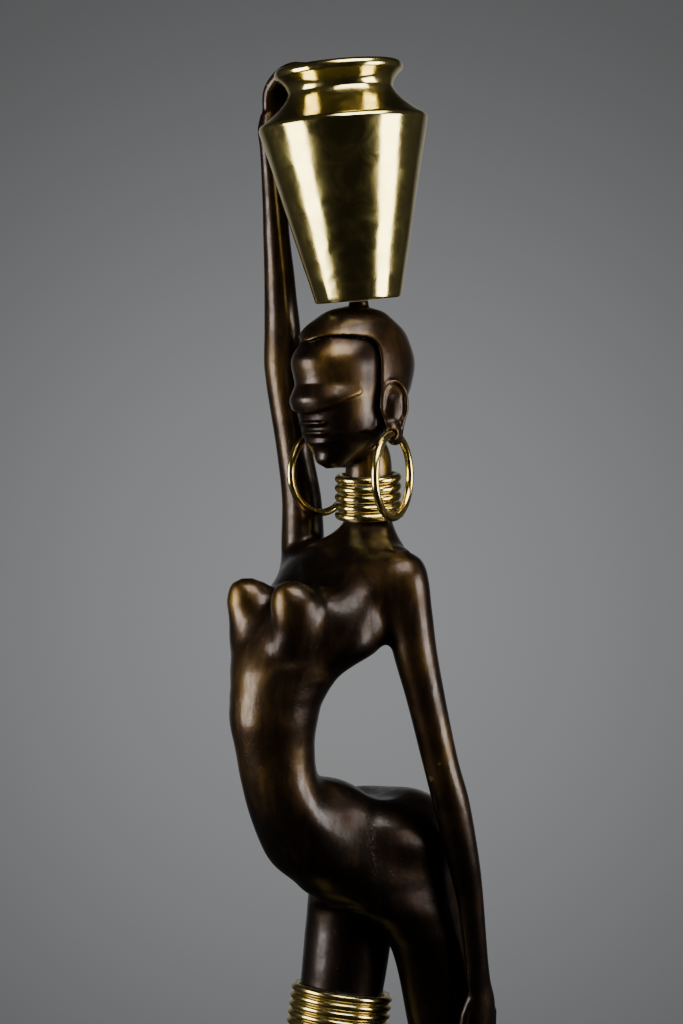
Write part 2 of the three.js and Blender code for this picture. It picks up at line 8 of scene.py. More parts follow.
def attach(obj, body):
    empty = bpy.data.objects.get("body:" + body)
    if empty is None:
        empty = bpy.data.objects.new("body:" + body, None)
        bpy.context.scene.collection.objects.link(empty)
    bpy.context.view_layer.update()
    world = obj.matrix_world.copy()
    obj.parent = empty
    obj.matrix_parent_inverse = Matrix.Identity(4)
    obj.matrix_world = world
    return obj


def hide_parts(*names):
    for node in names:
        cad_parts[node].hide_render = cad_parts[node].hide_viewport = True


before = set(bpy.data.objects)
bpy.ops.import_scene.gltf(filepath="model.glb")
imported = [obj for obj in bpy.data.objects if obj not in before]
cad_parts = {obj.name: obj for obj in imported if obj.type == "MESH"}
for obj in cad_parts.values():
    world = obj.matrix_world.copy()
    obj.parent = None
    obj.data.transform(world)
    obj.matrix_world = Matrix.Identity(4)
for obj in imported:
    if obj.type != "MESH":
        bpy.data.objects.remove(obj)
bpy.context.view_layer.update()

# Millimetres below, turned to metres where a mesh is made. +Z up, she faces -Y, her left is +X.
MM = 0.001

# What a distance reads where a form is too far off to matter, and how near that is
FAR = 1000.0
REACH = 45.0

# The height of her soles, on the base
SOLE = 34.3

# Level sections of the body and limbs: height, then centre x and y, then half width in x and in y
TRUNK = [
    (834, 0, -3, 42, 34),
    (845, 0, -7, 52, 54),
    (860, 0, -14, 58, 65),
    (880, 0, -39, 57, 67),
    (900, 0, -60, 55, 62),
    (940, 0, -89.5, 53.5, 50),
    (980, 0, -111, 44.5, 43.5),
    (1020, 0, -119, 45, 44.5),
    (1050, 0, -120.5, 50, 49),
    (1075, 0, -115, 53, 51.5),
    (1098, 0, -98, 57, 53),
    (1112, 0, -85, 65, 55),
    (1127, 0, -61, 82, 58),
    (1150, 0, -49, 87, 58),
    (1180, 0, -40, 90, 56),
    (1205, 0, -25, 95, 52),
    (1224, 0, -12, 91, 48),
    (1240, 0, -1, 72, 41),
    (1252, 0, 10, 50, 33),
    (1262, 0, 16, 36, 29),
    (1272, 0, 18.4, 27.6, 27.4),
    (1295, 0, 18.6, 27, 27),
    (1345, 0, 17.5, 26.6, 26.6),
    (1378, 0, 2, 24, 24),
]
PELVIS = [
    (848, 0, 24, 38, 40),
    (862, 0, 26, 62, 68),
    (882, 0, 27, 80, 86),
    (905, 0, 26, 87, 91),
    (924, 0, 22, 84, 90),
    (936, 0, 18, 78, 87),
    (950, 0, 12, 69, 81),
    (975, 0, 2, 52, 66),
]
LEFT_LEG = [
    (100, 44, 156, 19, 20),
    (200, 44, 154, 24, 24),
    (330, 44, 148, 32, 33),
    (430, 44, 138, 33, 34),
    (560, 44, 120, 37, 38),
    (690, 44, 98, 43, 45),
    (768, 43, 83, 45, 51),
    (805, 42.5, 64, 44, 60),
    (832, 41.5, 46, 44, 74),
    (865, 36, 38, 40, 80),
    (890, 30, 34, 32, 66),
    (905, 34, 32, 22, 40),
    (911, 34, 31, 8, 14),
]
RIGHT_LEG = [
    (100, -45, -24, 19, 20),
    (200, -45, -22, 24, 25),
    (330, -45, -24, 32, 33),
    (430, -45, -29, 33, 34),
    (560, -45, -10, 41, 42),
    (650, -45, 4, 46.5, 47),
    (700, -45, 13, 48.2, 48.2),
    (745, -45, 21, 50.3, 50.5),
    (800, -44, 28, 51, 52),
    (850, -42, 32, 46, 52),
    (875, -40, 34, 34, 40),
    (886, -40, 34, 12, 14),
]
LEFT_ARM = [
    (700, 107.5, 99, 3, 6),
    (714, 108, 98, 7.5, 12),
    (740, 109, 92, 10.3, 15.5),
    (769, 110, 87, 12.5, 14),
    (805, 112, 80, 14.2, 14.2),
    (841, 114, 73, 15.3, 15.3),
    (888, 116, 60, 18.5, 18.5),
    (958, 115, 41.5, 21, 21),
    (1004, 112, 28, 20.5, 20.5),
    (1072, 106, 12.4, 22, 22),
    (1128, 100, 0.5, 25, 25),
    (1175, 96, -5, 26, 26),
    (1212, 91, -7, 26, 26),
    (1229, 87, -7, 20, 20),
    (1237, 85, -7, 8, 8),
]
RIGHT_ARM = [
    (1172, -70, -14, 10, 12),
    (1196, -82, -8, 21, 20),
    (1225, -92, -4, 26, 25),
    (1293, -102, 2, 23.6, 23.6),
    (1352, -110, -2.5, 21.5, 21.5),
    (1447, -118, -13.6, 22, 22),
    (1495, -118.5, -14, 21.5, 21.5),
    (1530, -118, -17, 19.5, 19.5),
    (1565, -116, -21, 17.8, 17.8),
    (1600, -114, -26, 16, 16),
    (1640, -112.5, -30, 14.3, 14.8),
    (1680, -111, -34, 13, 14.6),
    (1706, -110.5, -36, 11.8, 15.5),
    (1728, -109.5, -38, 9.5, 17.5),
    (1742, -109, -38, 6, 13),
]
RIBS = [
    (1060, 0, -116, 14, 16),
    (1072, 0, -117, 33, 35),
    (1085, 0, -117, 43, 43),
    (1098, -2, -115, 51, 48),
    (1112, -4, -111, 57, 50),
    (1130, -9, -104, 62, 49.5),
    (1150, -12, -96, 56, 44),
    (1170, -12, -84, 44, 38),
    (1185, -9, -72, 34, 31),
    (1197, -4, -58, 18, 16),
    (1202, 0, -54, 6, 6),
]
BREAST = [
    (1118, 32, -104, 6, 8),
    (1135, 37, -112, 18, 22),
    (1154, 39, -116, 25, 28),
    (1178, 40, -118.5, 27.5, 30.5),
    (1190, 40, -120.5, 24.5, 27.5),
    (1201, 40, -124.5, 16, 19.5),
    (1206.5, 40, -127, 5, 7),
]
SKULL = [
    (1331, 0, -31, 11, 11),
    (1340, 0, -29, 22, 21),
    (1353, 0, -24.5, 36, 34),
    (1366, 0, -20, 46, 45),
    (1380, 0, -17, 51, 52),
    (1398, 0, -12.5, 54.5, 61),
    (1414, 0, -8, 56, 68),
    (1428, 0, -5.5, 57, 72),
    (1452, 0, -5.6, 57, 77.5),
    (1472, 0, -4, 54.5, 69.5),
    (1488, 0, -3.5, 48, 61),
    (1502, 0, -2.5, 37, 44),
    (1511, 0, -0.5, 24, 30),
    (1516, 0, 0, 8, 10),
]
BROW = [
    (1384, 0, -17.5, 50, 53),
    (1393, 0, -14.5, 51, 60.5),
    (1400, 0, -12.5, 52, 66),
    (1408, 0, -10.8, 53, 69.8),
    (1417, 0, -8.5, 53, 68.5),
    (1428, 0, -6, 52, 65),
]
FOOT = [
    (SOLE, 0, -70, 31, 90),
    (SOLE + 9, 0, -69, 33, 93),
    (SOLE + 22, 0, -52, 30, 74),
    (SOLE + 38, 0, -26, 25, 47),
    (SOLE + 52, 0, -8, 21, 28),
    (SOLE + 72, 0, 0, 19, 20),
]

# How wide the joins between forms are rounded
FLESH = 26.0
CROTCH = 5.0
BREAST_BLEND = 32.0
PELVIS_BLEND = 42.0

# Where the hip's top is cut across at her middle, and how it falls towards her back
HIP_TOP = 957
HIP_FALL = 0.1

# Rounded masses over the limbs: centre, and half widths in x, y and z
FLANKS = [((50, -66, 1150), (36, 30, 36)), ((-50, -66, 1150), (36, 30, 36))]
HIP_MASSES = [
    ((4, -45, 949), (44, 36, 28)),
    ((36, 60, 884), (46, 59, 64)),
    ((-36, 50, 884), (46, 58, 64)),
    ((10, 62, 900.5), (46, 44, 50)),
]

# The face's opening in the cap, and the mask's outline: half width, half height and middle height
WINDOW = (74.0, 54.0, 1425.0)
MASK = (57.0, 40.0, 1432.0)

# The lips, the roll under them and the chin: centre, half widths and how wide the join is rounded
MOUTH = [
    ((0, -66.2, 1381), (22, 6.2, 2.6), 4.0),
    ((0, -62.2, 1370), (21, 6.2, 2.3), 4.0),
    ((0, -57, 1359.5), (19, 6.5, 2.8), 4.5),
    ((0, -46, 1341), (13, 9, 7.5), 8.0),
]

# The left ear's place, and how far both flare out from the head
EAR = (61, 5, 1396)
EAR_FLARE = math.radians(22)

# The raised palm's half widths, and the hanging one's centre and half widths
RAISED_PALM = (9.5, 21, 30)
HANGING_PALM = ((107.5, 98, 708), (10, 18.5, 34))

# The feet: where each ankle stands, and 1 for her left or -1 for her right
FEET = [(44, 156, 1), (-45, -24, -1)]

# The heights between which the head, hands and feet are worked out
HEAD_SPAN = (1310, 1560)
RAISED_HAND_FROM = 1650
HANGING_HAND_SPAN = (600, 800)
FEET_BELOW = 150

# Triangles that the figure's mesh is thinned to
FIGURE_TRIANGLES = 190000

# The jar, by heights above its foot, along its own leaning axis
JAR_FOOT = (0.0, 3.7, 1522.6)
JAR_TILT = math.radians(6.6)
JAR_FOOT_RADIUS = 49.5
JAR_SHOULDER_RADIUS = 97.0
JAR_SHOULDER_HEIGHT = 202.0
JAR_NECK_RADIUS = 60.0
JAR_NECK_HEIGHT = 238.5
JAR_LIP_RADIUS = 73.5
JAR_HEIGHT = 266.5
JAR_WALL = 3.0

# The stub that carries it: its ends' heights above the jar's foot, their radii and the gap to the jar
STUB_ENDS = (-18, 10)
STUB_RADII = (11.5, 11)
STUB_GAP = 0.4

# Ear hoops: radius, rod radius, room in the lobe, and each one's centre x, y and z and turn in degrees
HOOP_RADIUS = 47.0
HOOP_WIRE = 4.5
HOOP_CLEARANCE = 0.5
LEFT_HOOP = (66.0, -2.0, 1322.0, 66.0)
RIGHT_HOOP = (-64.0, 0.0, 1325.5, -93.0)

# Neck and thigh rings: radius, rod radius, spacing, centre of the top one and lean
NECK_RINGS = 5
NECK_RING_RADIUS = 34.0
NECK_RING_WIRE = 4.85
NECK_RING_PITCH = 10.4
NECK_RING_TOP = (0.0, 18.6, 1319.5)
NECK_RING_TILTS = (math.radians(5.9), math.radians(4.2))

THIGH_RINGS = 8
THIGH_RING_RADIUS = 55.3
THIGH_RING_WIRE = 4.7
THIGH_RING_PITCH = 9.8
THIGH_RING_TOP = (-45.0, 16.5, 714.0)
THIGH_RING_TILT = math.radians(10.5)

# The base's width, depth and height, with its corner and edge radii
BASE_SIZE = (250.0, 420.0, 34.0)
BASE_CORNER = 40.0
BASE_EDGE = 4.0

# The camera's direction: degrees round from her front towards her left
AZIMUTH = math.radians(50)
# The backdrop is palest this far below the level
GLOW_DIP = math.radians(4)

# The camera: focal length, picture height and drop in pixels, then its distance, place aside and height
FOCAL_PIXELS = 2000.0
PICTURE_PIXELS = 1024.0
DROP_PIXELS = 42
CAMERA_AWAY = 2300
CAMERA_ASIDE = -16.7
CAMERA_HEIGHT = 1328.5


# The same sections on her other side
def mirrored(sections):
    return [(z, -x, y, half_x, half_y) for z, x, y, half_x, half_y in sections]


# Level sections moved aside and drawn outwards all round
def moved(sections, dx=0.0, dy=0.0, rise=0.0):
    return [(z, x + dx, y + dy, hx + rise, hy + rise) for z, x, y, hx, hy in sections]


# A smooth step from 0 to 1 between two places
def eased(value, start, end):
    t = np.clip((value - start) / (end - start), 0.0, 1.0)
    return t * t * (3.0 - 2.0 * t)


# The centre and half widths of a limb at each height, by smooth curves through all its sections
def section_at(sections, z):
    table = np.array(sections, dtype=np.float32)
    heights = table[:, 0]
    values = table[:, 1:]
    last = len(table) - 1
    lower = np.maximum(np.arange(last + 1) - 1, 0)
    upper = np.minimum(np.arange(last + 1) + 1, last)
    slopes = (values[upper] - values[lower]) / (heights[upper] - heights[lower])[:, None]
    level = np.clip(z, heights[0], heights[last])
    index = np.clip(np.searchsorted(heights, level, side="right") - 1, 0, last - 1)
    span = heights[index + 1] - heights[index]
    u = (level - heights[index]) / span
    found = []
    for k in range(4):
        rise = slopes[index, k] * span
        fall = slopes[index + 1, k] * span
        bend = (2 * u**3 - 3 * u**2 + 1) * values[index, k] + (u**3 - 2 * u**2 + u) * rise
        found.append(bend + (3 * u**2 - 2 * u**3) * values[index + 1, k] + (u**3 - u**2) * fall)
    return found


# Distance to a limb's skin, negative inside it
def limb(sections, x, y, z):
    bottom = sections[0][0]
    top = sections[-1][0]
    if z.max() < bottom - REACH or z.min() > top + REACH:
        return FAR
    cx, cy, half_x, half_y = section_at(sections, z)
    dx = (x - cx) / half_x
    dy = (y - cy) / half_y
    reach = np.sqrt(dx * dx + dy * dy)
    slope = np.sqrt((dx / half_x) ** 2 + (dy / half_y) ** 2)
    side = (reach - 1) * reach / np.maximum(slope, 1e-6)
    return np.maximum(side, np.maximum(z - top, bottom - z))


# Distance to an ellipsoid's skin, negative inside it
def ball(centre, radii, x, y, z):
    if z.max() < centre[2] - radii[2] - REACH or z.min() > centre[2] + radii[2] + REACH:
        return FAR
    dx = (x - centre[0]) / radii[0]
    dy = (y - centre[1]) / radii[1]
    dz = (z - centre[2]) / radii[2]
    reach = np.sqrt(dx * dx + dy * dy + dz * dz)
    slope = np.sqrt((dx / radii[0]) ** 2 + (dy / radii[1]) ** 2 + (dz / radii[2]) ** 2)
    return (reach - 1) * reach / np.maximum(slope, 1e-6)


# Distance to a row of round-ended rods through points, each point with a radius of its own
def chain(points, radii, x, y, z):
    heights = [p[2] for p in points]
    if z.max() < min(heights) - REACH or z.min() > max(heights) + REACH:
        return FAR
    nearest = FAR
    for start, end, r0, r1 in zip(points, points[1:], radii, radii[1:]):
        ax, ay, az = (float(v) for v in start)
        bx, by, bz = (float(e - s) for s, e in zip(start, end))
        length2 = bx * bx + by * by + bz * bz
        px = x - ax
        py = y - ay
        pz = z - az
        t = np.clip((px * bx + py * by + pz * bz) / length2, 0.0, 1.0)
        away = np.sqrt((px - t * bx) ** 2 + (py - t * by) ** 2 + (pz - t * bz) ** 2)
        nearest = np.minimum(nearest, away - r0 - (r1 - r0) * t)
    return nearest


# The nearer of two distances, rounded off over a width where they are alike
def blended(a, b, width):
    near = np.maximum(width - np.abs(a - b), 0.0)
    return np.minimum(a, b) - near * near / (4.0 * width)


# The farther of two distances, with the edge that they meet in rounded off
def crossed(a, b, width):
    return -blended(-a, -b, width)


# A soft bump of height 1 about a middle
def hump(value, width):
    return np.exp(-((value / width) ** 2))


# A point given around the jar's axis: radius, degrees from her right towards her back, height
def around_jar(radius, degrees, height):
    angle = math.radians(degrees)
    local = Vector((-radius * math.cos(angle), radius * math.sin(angle), height))
    return Matrix.Rotation(JAR_TILT, 3, "X") @ local + Vector(JAR_FOOT)


# The points of a smooth curve through a row of points
def smooth_through(points, per_span):
    ends = [points[0] * 2 - points[1], *points, points[-1] * 2 - points[-2]]
    made = []
    for i in range(1, len(ends) - 2):
        a, b, c, d = ends[i - 1 : i + 3]
        for step in range(per_span):
            t = step / per_span
            point = 2 * b + (c - a) * t
            point = point + (2 * a - 5 * b + 4 * c - d) * t**2
            point = point + (3 * b - a - 3 * c + d) * t**3
            made.append(0.5 * point)
    made.append(points[-1])
    return made


# Distance to the body with its limbs run into each other as flesh does
def body_distance(x, y, z):
    thigh_blend = CROTCH + (FLESH - CROTCH) * eased(z, 790, 850)
    legs = blended(limb(LEFT_LEG, x, y, z), limb(RIGHT_LEG, x, y, z), thigh_blend)
    breasts = blended(limb(BREAST, x, y, z), limb(mirrored(BREAST), x, y, z), FLESH)
    body = blended(limb(TRUNK, x, y, z), limb(RIBS, x, y, z), FLESH)
    body = blended(body, breasts, BREAST_BLEND)
    for centre, radii in FLANKS:
        body = blended(body, ball(centre, radii, x, y, z), FLESH)
    pelvis = crossed(limb(PELVIS, x, y, z), z - HIP_TOP + HIP_FALL * y, PELVIS_BLEND)
    body = blended(body, pelvis, PELVIS_BLEND)
    for centre, radii in HIP_MASSES:
        body = blended(body, ball(centre, radii, x, y, z), FLESH)
    body = blended(body, legs, thigh_blend)
    left_blend = 1 + FLESH * eased(z, 1090, 1150)
    right_blend = 1 + FLESH * (1 - eased(z, 1245, 1285))
    body = blended(body, limb(LEFT_ARM, x, y, z), left_blend)
    return blended(body, limb(RIGHT_ARM, x, y, z), right_blend)


# Distance to one ear: a raised blade with a rolled rim and a hollow, and a long lobe
def ear_distance(side, hoop, x, y, z):
    dx = (x - side * EAR[0]) * side
    dy = y - EAR[1]
    across = dx * math.sin(EAR_FLARE) + dy * math.cos(EAR_FLARE)
    out = dx * math.cos(EAR_FLARE) - dy * math.sin(EAR_FLARE)
    up = z - EAR[2]
    flat = 0.0 * across + 0.0 * up
    wing = ball((-1, 11, 0), (16.2, 23, 1e3), across, up, flat)
    tail = chain([(-1, -2, 0), (1.5, -31, 0)], [13.5, 7.5], across, up, flat)
    outline = blended(wing, tail, 10)
    blade = crossed(outline, np.abs(out) - 3.2, 2.5)
    rim_height = eased(up + 20 * eased(across, -2, 8), -10, 6)
    rim = np.sqrt((outline + 2.2) ** 2 + (out - 2.6) ** 2) - 2.5 * rim_height
    ear = blended(blade, rim, 1.5)
    hollow = ball((-3.2, 9, 6), (9.2, 14.5, 7.0), across, up, out)
    scoop = ball((8.6, 6, 5.5), (3.4, 16, 3.4), across, up, out)
    ear = crossed(ear, -hollow, 1.2)
    ear = crossed(ear, -scoop, 1.2)
    root = ball((side * 52, 4, 1400), (14, 11, 24), x, y, z)
    lobe_height = hoop[2] + HOOP_RADIUS - 1
    lobe = ball((hoop[0] - side * 1.5, hoop[1] + 2, lobe_height + 2), (7.6, 7.4, 11.5), x, y, z)
    return blended(blended(ear, root, 4), lobe, 9)


# Distance to the head: skull and jaw, cap of hair, mask-like brow band, lips, chin and ears
def head_distance(x, y, z):
    skull = limb(SKULL, x, y, z)
    half_width, half_height, middle = WINDOW
    wide = (np.abs(x / half_width)) ** 5 + (np.abs((z - middle) / half_height)) ** 5
    window = (wide**0.2 - 1.0) * half_height + 6.0 * hump(x, 18.0) * eased(z, 1440, 1470)
    opening = crossed(window, y + 10.0, 22.0)
    above = eased(z, 1385, 1405)
    beside = eased(np.abs(x), 28, 52)
    pillow = (2.6 + 2.4 * beside) * hump(np.minimum(opening, 0.0), 11.0 + 5.0 * beside)
    pillow = pillow * hump(np.maximum(opening, 0.0), 3.0) * eased(z, 1362, 1400)
    skull = skull + 0.6 * hump(opening - 0.3, 1.6) * above + pillow
    cap = limb(moved(SKULL[5:], rise=2.6), x, y, z)
    head = blended(skull, crossed(cap, -opening, 3.0), 1.2)
    band = limb(moved(BROW, rise=4.2), x, y, z) + 0.8 * pillow
    edge = ball((0, MASK[2], 0), (MASK[0], MASK[1], 1e3), x, z, 0.0 * x + 0.0 * z)
    mask = crossed(crossed(band, edge, 0.9), y + 30.0, 9.0)
    head = blended(head, mask, 1.6)
    jaw = 1371.0 - 6.0 * eased(-y, 20, 62)
    cheek = eased(np.abs(x), 14, 40) * (1 - eased(z, jaw - 1.5, jaw + 1.5))
    head = head + 1.8 * cheek * eased(z, 1335, 1350)
    for centre, radii, width in MOUTH:
        head = blended(head, ball(centre, radii, x, y, z), width)
    head = blended(head, ear_distance(1, LEFT_HOOP, x, y, z), 3.0)
    return blended(head, ear_distance(-1, RIGHT_HOOP, x, y, z), 3.0)


# Distance to one foot, a low wedge with five toes, the big toe on the inner side
def foot_distance(ankle_x, ankle_y, side, x, y, z):
    foot = limb(moved(FOOT, ankle_x, ankle_y), x, y, z)
    for i in range(5):
        radius = 8.5 if i == 0 else 6.5 - 0.3 * i
        toe_x = ankle_x + side * 12 * (i - 2)
        root = Vector((toe_x, ankle_y - 130 + 3 * i, SOLE + radius + 3))
        knuckle = Vector((toe_x, ankle_y - 152 + 4 * i, SOLE + radius + 2.5))
        tip = Vector((toe_x, ankle_y - 170 + 5 * i, SOLE + radius))
        toe = chain([root, knuckle, tip], [radius, radius * 0.9, radius], x, y, z)
        nail = ball((toe_x, tip.y - 2, tip.z + radius * 1.05), (radius * 0.6, 5, 1.6), x, y, z)
        foot = blended(foot, crossed(toe, -nail, 0.8), 3.0)
    return crossed(foot, SOLE - z, 1.0)


# The raised hand's finger and thumb paths, bent over the jar's lip
def raised_fingers():
    bends = [
        (111, JAR_HEIGHT - 44, -1, 0.62, 7.3),
        (107, JAR_HEIGHT - 18, -1, 0.7, 7.3),
        (96, JAR_HEIGHT - 4, 1, 0.85, 7.4),
        (81, JAR_HEIGHT + 5, 3, 1, 6.8),
        (66, JAR_HEIGHT + 8, 4, 1, 6.6),
        (53, JAR_HEIGHT + 6.5, 5, 1, 5.8),
    ]
    fingers = []
    for i in range(4):
        side = 9.5 * (i - 1.5)
        points = [around_jar(radius, turn + side * fan, height) for radius, height, turn, fan, _ in bends]
        path = smooth_through(points, 3)
        radii = np.interp(np.linspace(0, 5, len(path)), range(6), [bend[4] for bend in bends])
        fingers.append((path, radii))
    thumb_bends = [(111, 6, 61), (105, 15, 44), (98, 24, 30)]
    thumb = [around_jar(radius, turn, JAR_HEIGHT - drop) for radius, turn, drop in thumb_bends]
    fingers.append((thumb, [8.2, 7.6, 6.4]))
    return fingers


# The hanging hand's finger and thumb paths, along the thigh
def hanging_fingers():
    fingers = []
    for i in range(4):
        across = 9.2 * (i - 1.5)
        length = 52 - 4 * abs(i - 1.4)
        root = Vector((107, 100 + across, 706))
        middle = Vector((105.5, 102 + 0.93 * across, 700 - length * 0.45))
        tip = Vector((103, 104 + 0.85 * across, 700 - length))
        fingers.append(([root, middle, tip], [5.9, 5.6, 4.9]))
    thumb = [Vector((105, 86, 726)), Vector((102.5, 77, 706)), Vector((101, 74, 688))]
    fingers.append((thumb, [7.0, 6.2, 5.4]))
    return fingers


RAISED_FINGERS = raised_fingers()
HANGING_FINGERS = hanging_fingers()


# Distance to a hoop's middle line, whose turn is about the vertical
def hoop_line(hoop, x, y, z):
    turn = math.radians(hoop[3])
    dx = x - hoop[0]
    dy = y - hoop[1]
    dz = z - hoop[2]
    along = dx * math.sin(turn) + dy * math.cos(turn)
    flat = np.sqrt(np.maximum(dx * dx + dy * dy + dz * dz - along * along, 0.0))
    return np.sqrt((flat - HOOP_RADIUS) ** 2 + along * along)


# Distance to the whole cast figure
def figure_distance(x, y, z):
    figure = body_distance(x, y, z)
    if z.max() > HEAD_SPAN[0] and z.min() < HEAD_SPAN[1]:
        figure = blended(figure, head_distance(x, y, z), 5.0)
        stub = [around_jar(0, 0, height) for height in STUB_ENDS]
        above_foot = (z - JAR_FOOT[2]) * math.cos(JAR_TILT) - (y - JAR_FOOT[1]) * math.sin(JAR_TILT)
        post = np.maximum(chain(stub, STUB_RADII, x, y, z), above_foot + STUB_GAP)
        figure = blended(figure, post, 4.0)
        for hoop in (LEFT_HOOP, RIGHT_HOOP):
            figure = np.maximum(figure, HOOP_WIRE + HOOP_CLEARANCE - hoop_line(hoop, x, y, z))
    if z.max() > RAISED_HAND_FROM:
        palm = around_jar(110, -5, JAR_HEIGHT - 52)
        figure = blended(figure, ball(palm, RAISED_PALM, x, y, z), 8.0)
        for path, radii in RAISED_FINGERS:
            figure = blended(figure, chain(path, radii, x, y, z), 2.6)
    if z.max() > HANGING_HAND_SPAN[0] and z.min() < HANGING_HAND_SPAN[1]:
        figure = blended(figure, ball(*HANGING_PALM, x, y, z), 8.0)
        for path, radii in HANGING_FINGERS:
            figure = blended(figure, chain(path, radii, x, y, z), 2.6)
    if z.min() < FEET_BELOW:
        for ankle_x, ankle_y, side in FEET:
            figure = blended(figure, foot_distance(ankle_x, ankle_y, side, x, y, z), 8.0)
    return figure


# The places of grid planes, with a spacing of their own between each pair of limits
def planes(limits, spacings):
    made = [np.arange(a, b, step) for a, b, step in zip(limits, limits[1:], spacings)]
    return np.concatenate([*made, [limits[-1]]]).astype(np.float32)


# A field's values over a grid, one band of heights after another
def sampled(distance, xs, ys, zs, band=24):
    field = np.empty((len(xs), len(ys), len(zs)), dtype=np.float32)
    for start in range(0, len(zs), band):
        level = zs[None, None, start : start + band]
        field[:, :, start : start + band] = distance(xs[:, None, None], ys[None, :, None], level)
    return field


# The closed surface where a field crosses zero: one vertex in each grid cell that it passes through
def surface_of(field, xs, ys, zs):
    places = (xs, ys, zs)
    shape = np.array(field.shape)
    strides = np.array([shape[1] * shape[2], shape[2], 1])
    inside = field < 0
    cells = []
    crossings = []
    quads = []
    for axis in range(3):
        near = [slice(None)] * 3
        far = [slice(None)] * 3
        near[axis] = slice(0, -1)
        far[axis] = slice(1, None)
        changes = np.argwhere(inside[tuple(near)] != inside[tuple(far)])
        ahead = changes.copy()
        ahead[:, axis] += 1
        f0 = field[tuple(changes.T)]
        f1 = field[tuple(ahead.T)]
        t = f0 / (f0 - f1)
        point = np.stack([places[k][changes[:, k]] for k in range(3)], axis=1)
        step = places[axis][ahead[:, axis]] - places[axis][changes[:, axis]]
        point[:, axis] += t * step
        u, v = [(1, 2), (2, 0), (0, 1)][axis]
        around = []
        for du, dv in ((0, 0), (-1, 0), (-1, -1), (0, -1)):
            cell = changes.copy()
            cell[:, u] += du
            cell[:, v] += dv
            around.append(cell @ strides)
        cells.extend(around)
        crossings.extend([point] * 4)
        quad = np.stack(around, axis=1)
        leaving = f0 < 0
        quads.append(np.where(leaving[:, None], quad, quad[:, ::-1]))
    flat = np.concatenate(cells)
    used, index = np.unique(flat, return_inverse=True)
    share = np.bincount(index)
    weights = np.concatenate(crossings)
    vertices = np.stack([np.bincount(index, weights[:, k]) / share for k in range(3)], axis=1)
    faces = np.searchsorted(used, np.concatenate(quads))
    return vertices, faces


# The slope of a field at points
def slope_at(distance, points, probe=0.4):
    x, y, z = points.T
    here = distance(x, y, z)
    slopes = [
        distance(x + probe, y, z) - here,
        distance(x, y + probe, z) - here,
        distance(x, y, z + probe) - here,
    ]
    return here, np.stack(slopes, axis=1) / probe


# Vertices drawn onto the surface exactly, worked out in bands of height
def settled(distance, vertices, steps=2, band=60.0):
    made = vertices.astype(np.float32)
    order = np.floor(made[:, 2] / band).astype(int)
    for level in np.unique(order):
        chosen = order == level
        points = made[chosen]
        for _ in range(steps):
            here, slope = slope_at(distance, points)
            size2 = np.maximum((slope**2).sum(axis=1), 0.2)
            move = np.clip(here / size2, -2.0, 2.0)
            points = points - slope * move[:, None]
        made[chosen] = points
    return made


# A smooth-shaded mesh object in metres out of vertices in millimetres and lists of faces
def mesh_object(name, vertices, faces):
    mesh = bpy.data.meshes.new(name)
    mesh.from_pydata((np.asarray(vertices) * MM).tolist(), [], faces)
    mesh.validate()
    mesh.shade_smooth()
    made = bpy.data.objects.new(name, mesh)
    bpy.context.scene.collection.objects.link(made)
    return made


# Puts a number on every vertex of a piece, for its material to read
def paint(piece, name, values):
    layer = piece.data.attributes.new(name, "FLOAT", "POINT")
    layer.data.foreach_set("value", np.asarray(values, dtype=np.float32))


# The vertices of a piece in millimetres
def vertices_of(piece):
    flat = np.empty(len(piece.data.vertices) * 3, dtype=np.float32)
    piece.data.vertices.foreach_get("co", flat)
    return flat.reshape(-1, 3) / MM


# The figure: one closed surface, thinned to a piece's share of triangles
def make_figure():
    xs = planes([-147, -72, 72, 143], [2.6, 1.9, 2.6])
    ys = planes([-210, -100, 76, 188], [2.6, 1.9, 2.6])
    heights = [31, 76, 640, 748, 1318, 1336, 1524, 1690, 1812]
    zs = planes(heights, [2.4, 5.5, 2.4, 5.5, 3.5, 1.8, 5.0, 2.2])
    field = sampled(figure_distance, xs, ys, zs)
    vertices, faces = surface_of(field, xs, ys, zs)
    vertices = settled(figure_distance, vertices)
    piece = mesh_object("figure_cast", vertices, faces.tolist())
    thinning = piece.modifiers.new("thinning", "DECIMATE")
    thinning.ratio = min(1.0, FIGURE_TRIANGLES / (2.0 * len(faces)))
    depsgraph = bpy.context.evaluated_depsgraph_get()
    thinned = bpy.data.meshes.new_from_object(piece.evaluated_get(depsgraph))
    piece.modifiers.clear()
    thinned.shade_smooth()
    piece.data = thinned
    return piece


# The faces between two closed rows of vertices, by the rows' first vertices
def between_rows(count, lower, upper):
    following = [(j + 1) % count for j in range(count)]
    return [(lower + j, lower + k, upper + k, upper + j) for j, k in enumerate(following)]


# A surface turned about +Z through profile points, whose two ends are on the axis
def turned(profile, sides):
    middle = profile[1:-1]
    angles = np.linspace(0, 2 * math.pi, sides, endpoint=False)
    vertices = [(r * math.cos(a), r * math.sin(a), z) for r, z in middle for a in angles]
    vertices += [(0, 0, profile[0][1]), (0, 0, profile[-1][1])]
    count = len(middle)
    faces = []
    for i in range(count - 1):
        faces += between_rows(sides, i * sides, (i + 1) * sides)
    for j in range(sides):
        k = (j + 1) % sides
        faces.append((count * sides, k, j))
        faces.append((count * sides + 1, (count - 1) * sides + j, (count - 1) * sides + k))
    return np.array(vertices), faces


# Points along a smooth bend from one point to another by way of a corner
def bend(start, corner, end, steps):
    made = []
    for step in range(1, steps + 1):
        t = step / steps
        pulls = ((1 - t) ** 2, 2 * t * (1 - t), t * t)
        made.append(tuple(sum(w * p for w, p in zip(pulls, trio)) for trio in zip(start, corner, end)))
    return made


# Points along a straight line
def run(start, end, steps):
    return [tuple(a + (b - a) * (i + 1) / steps for a, b in zip(start, end)) for i in range(steps)]


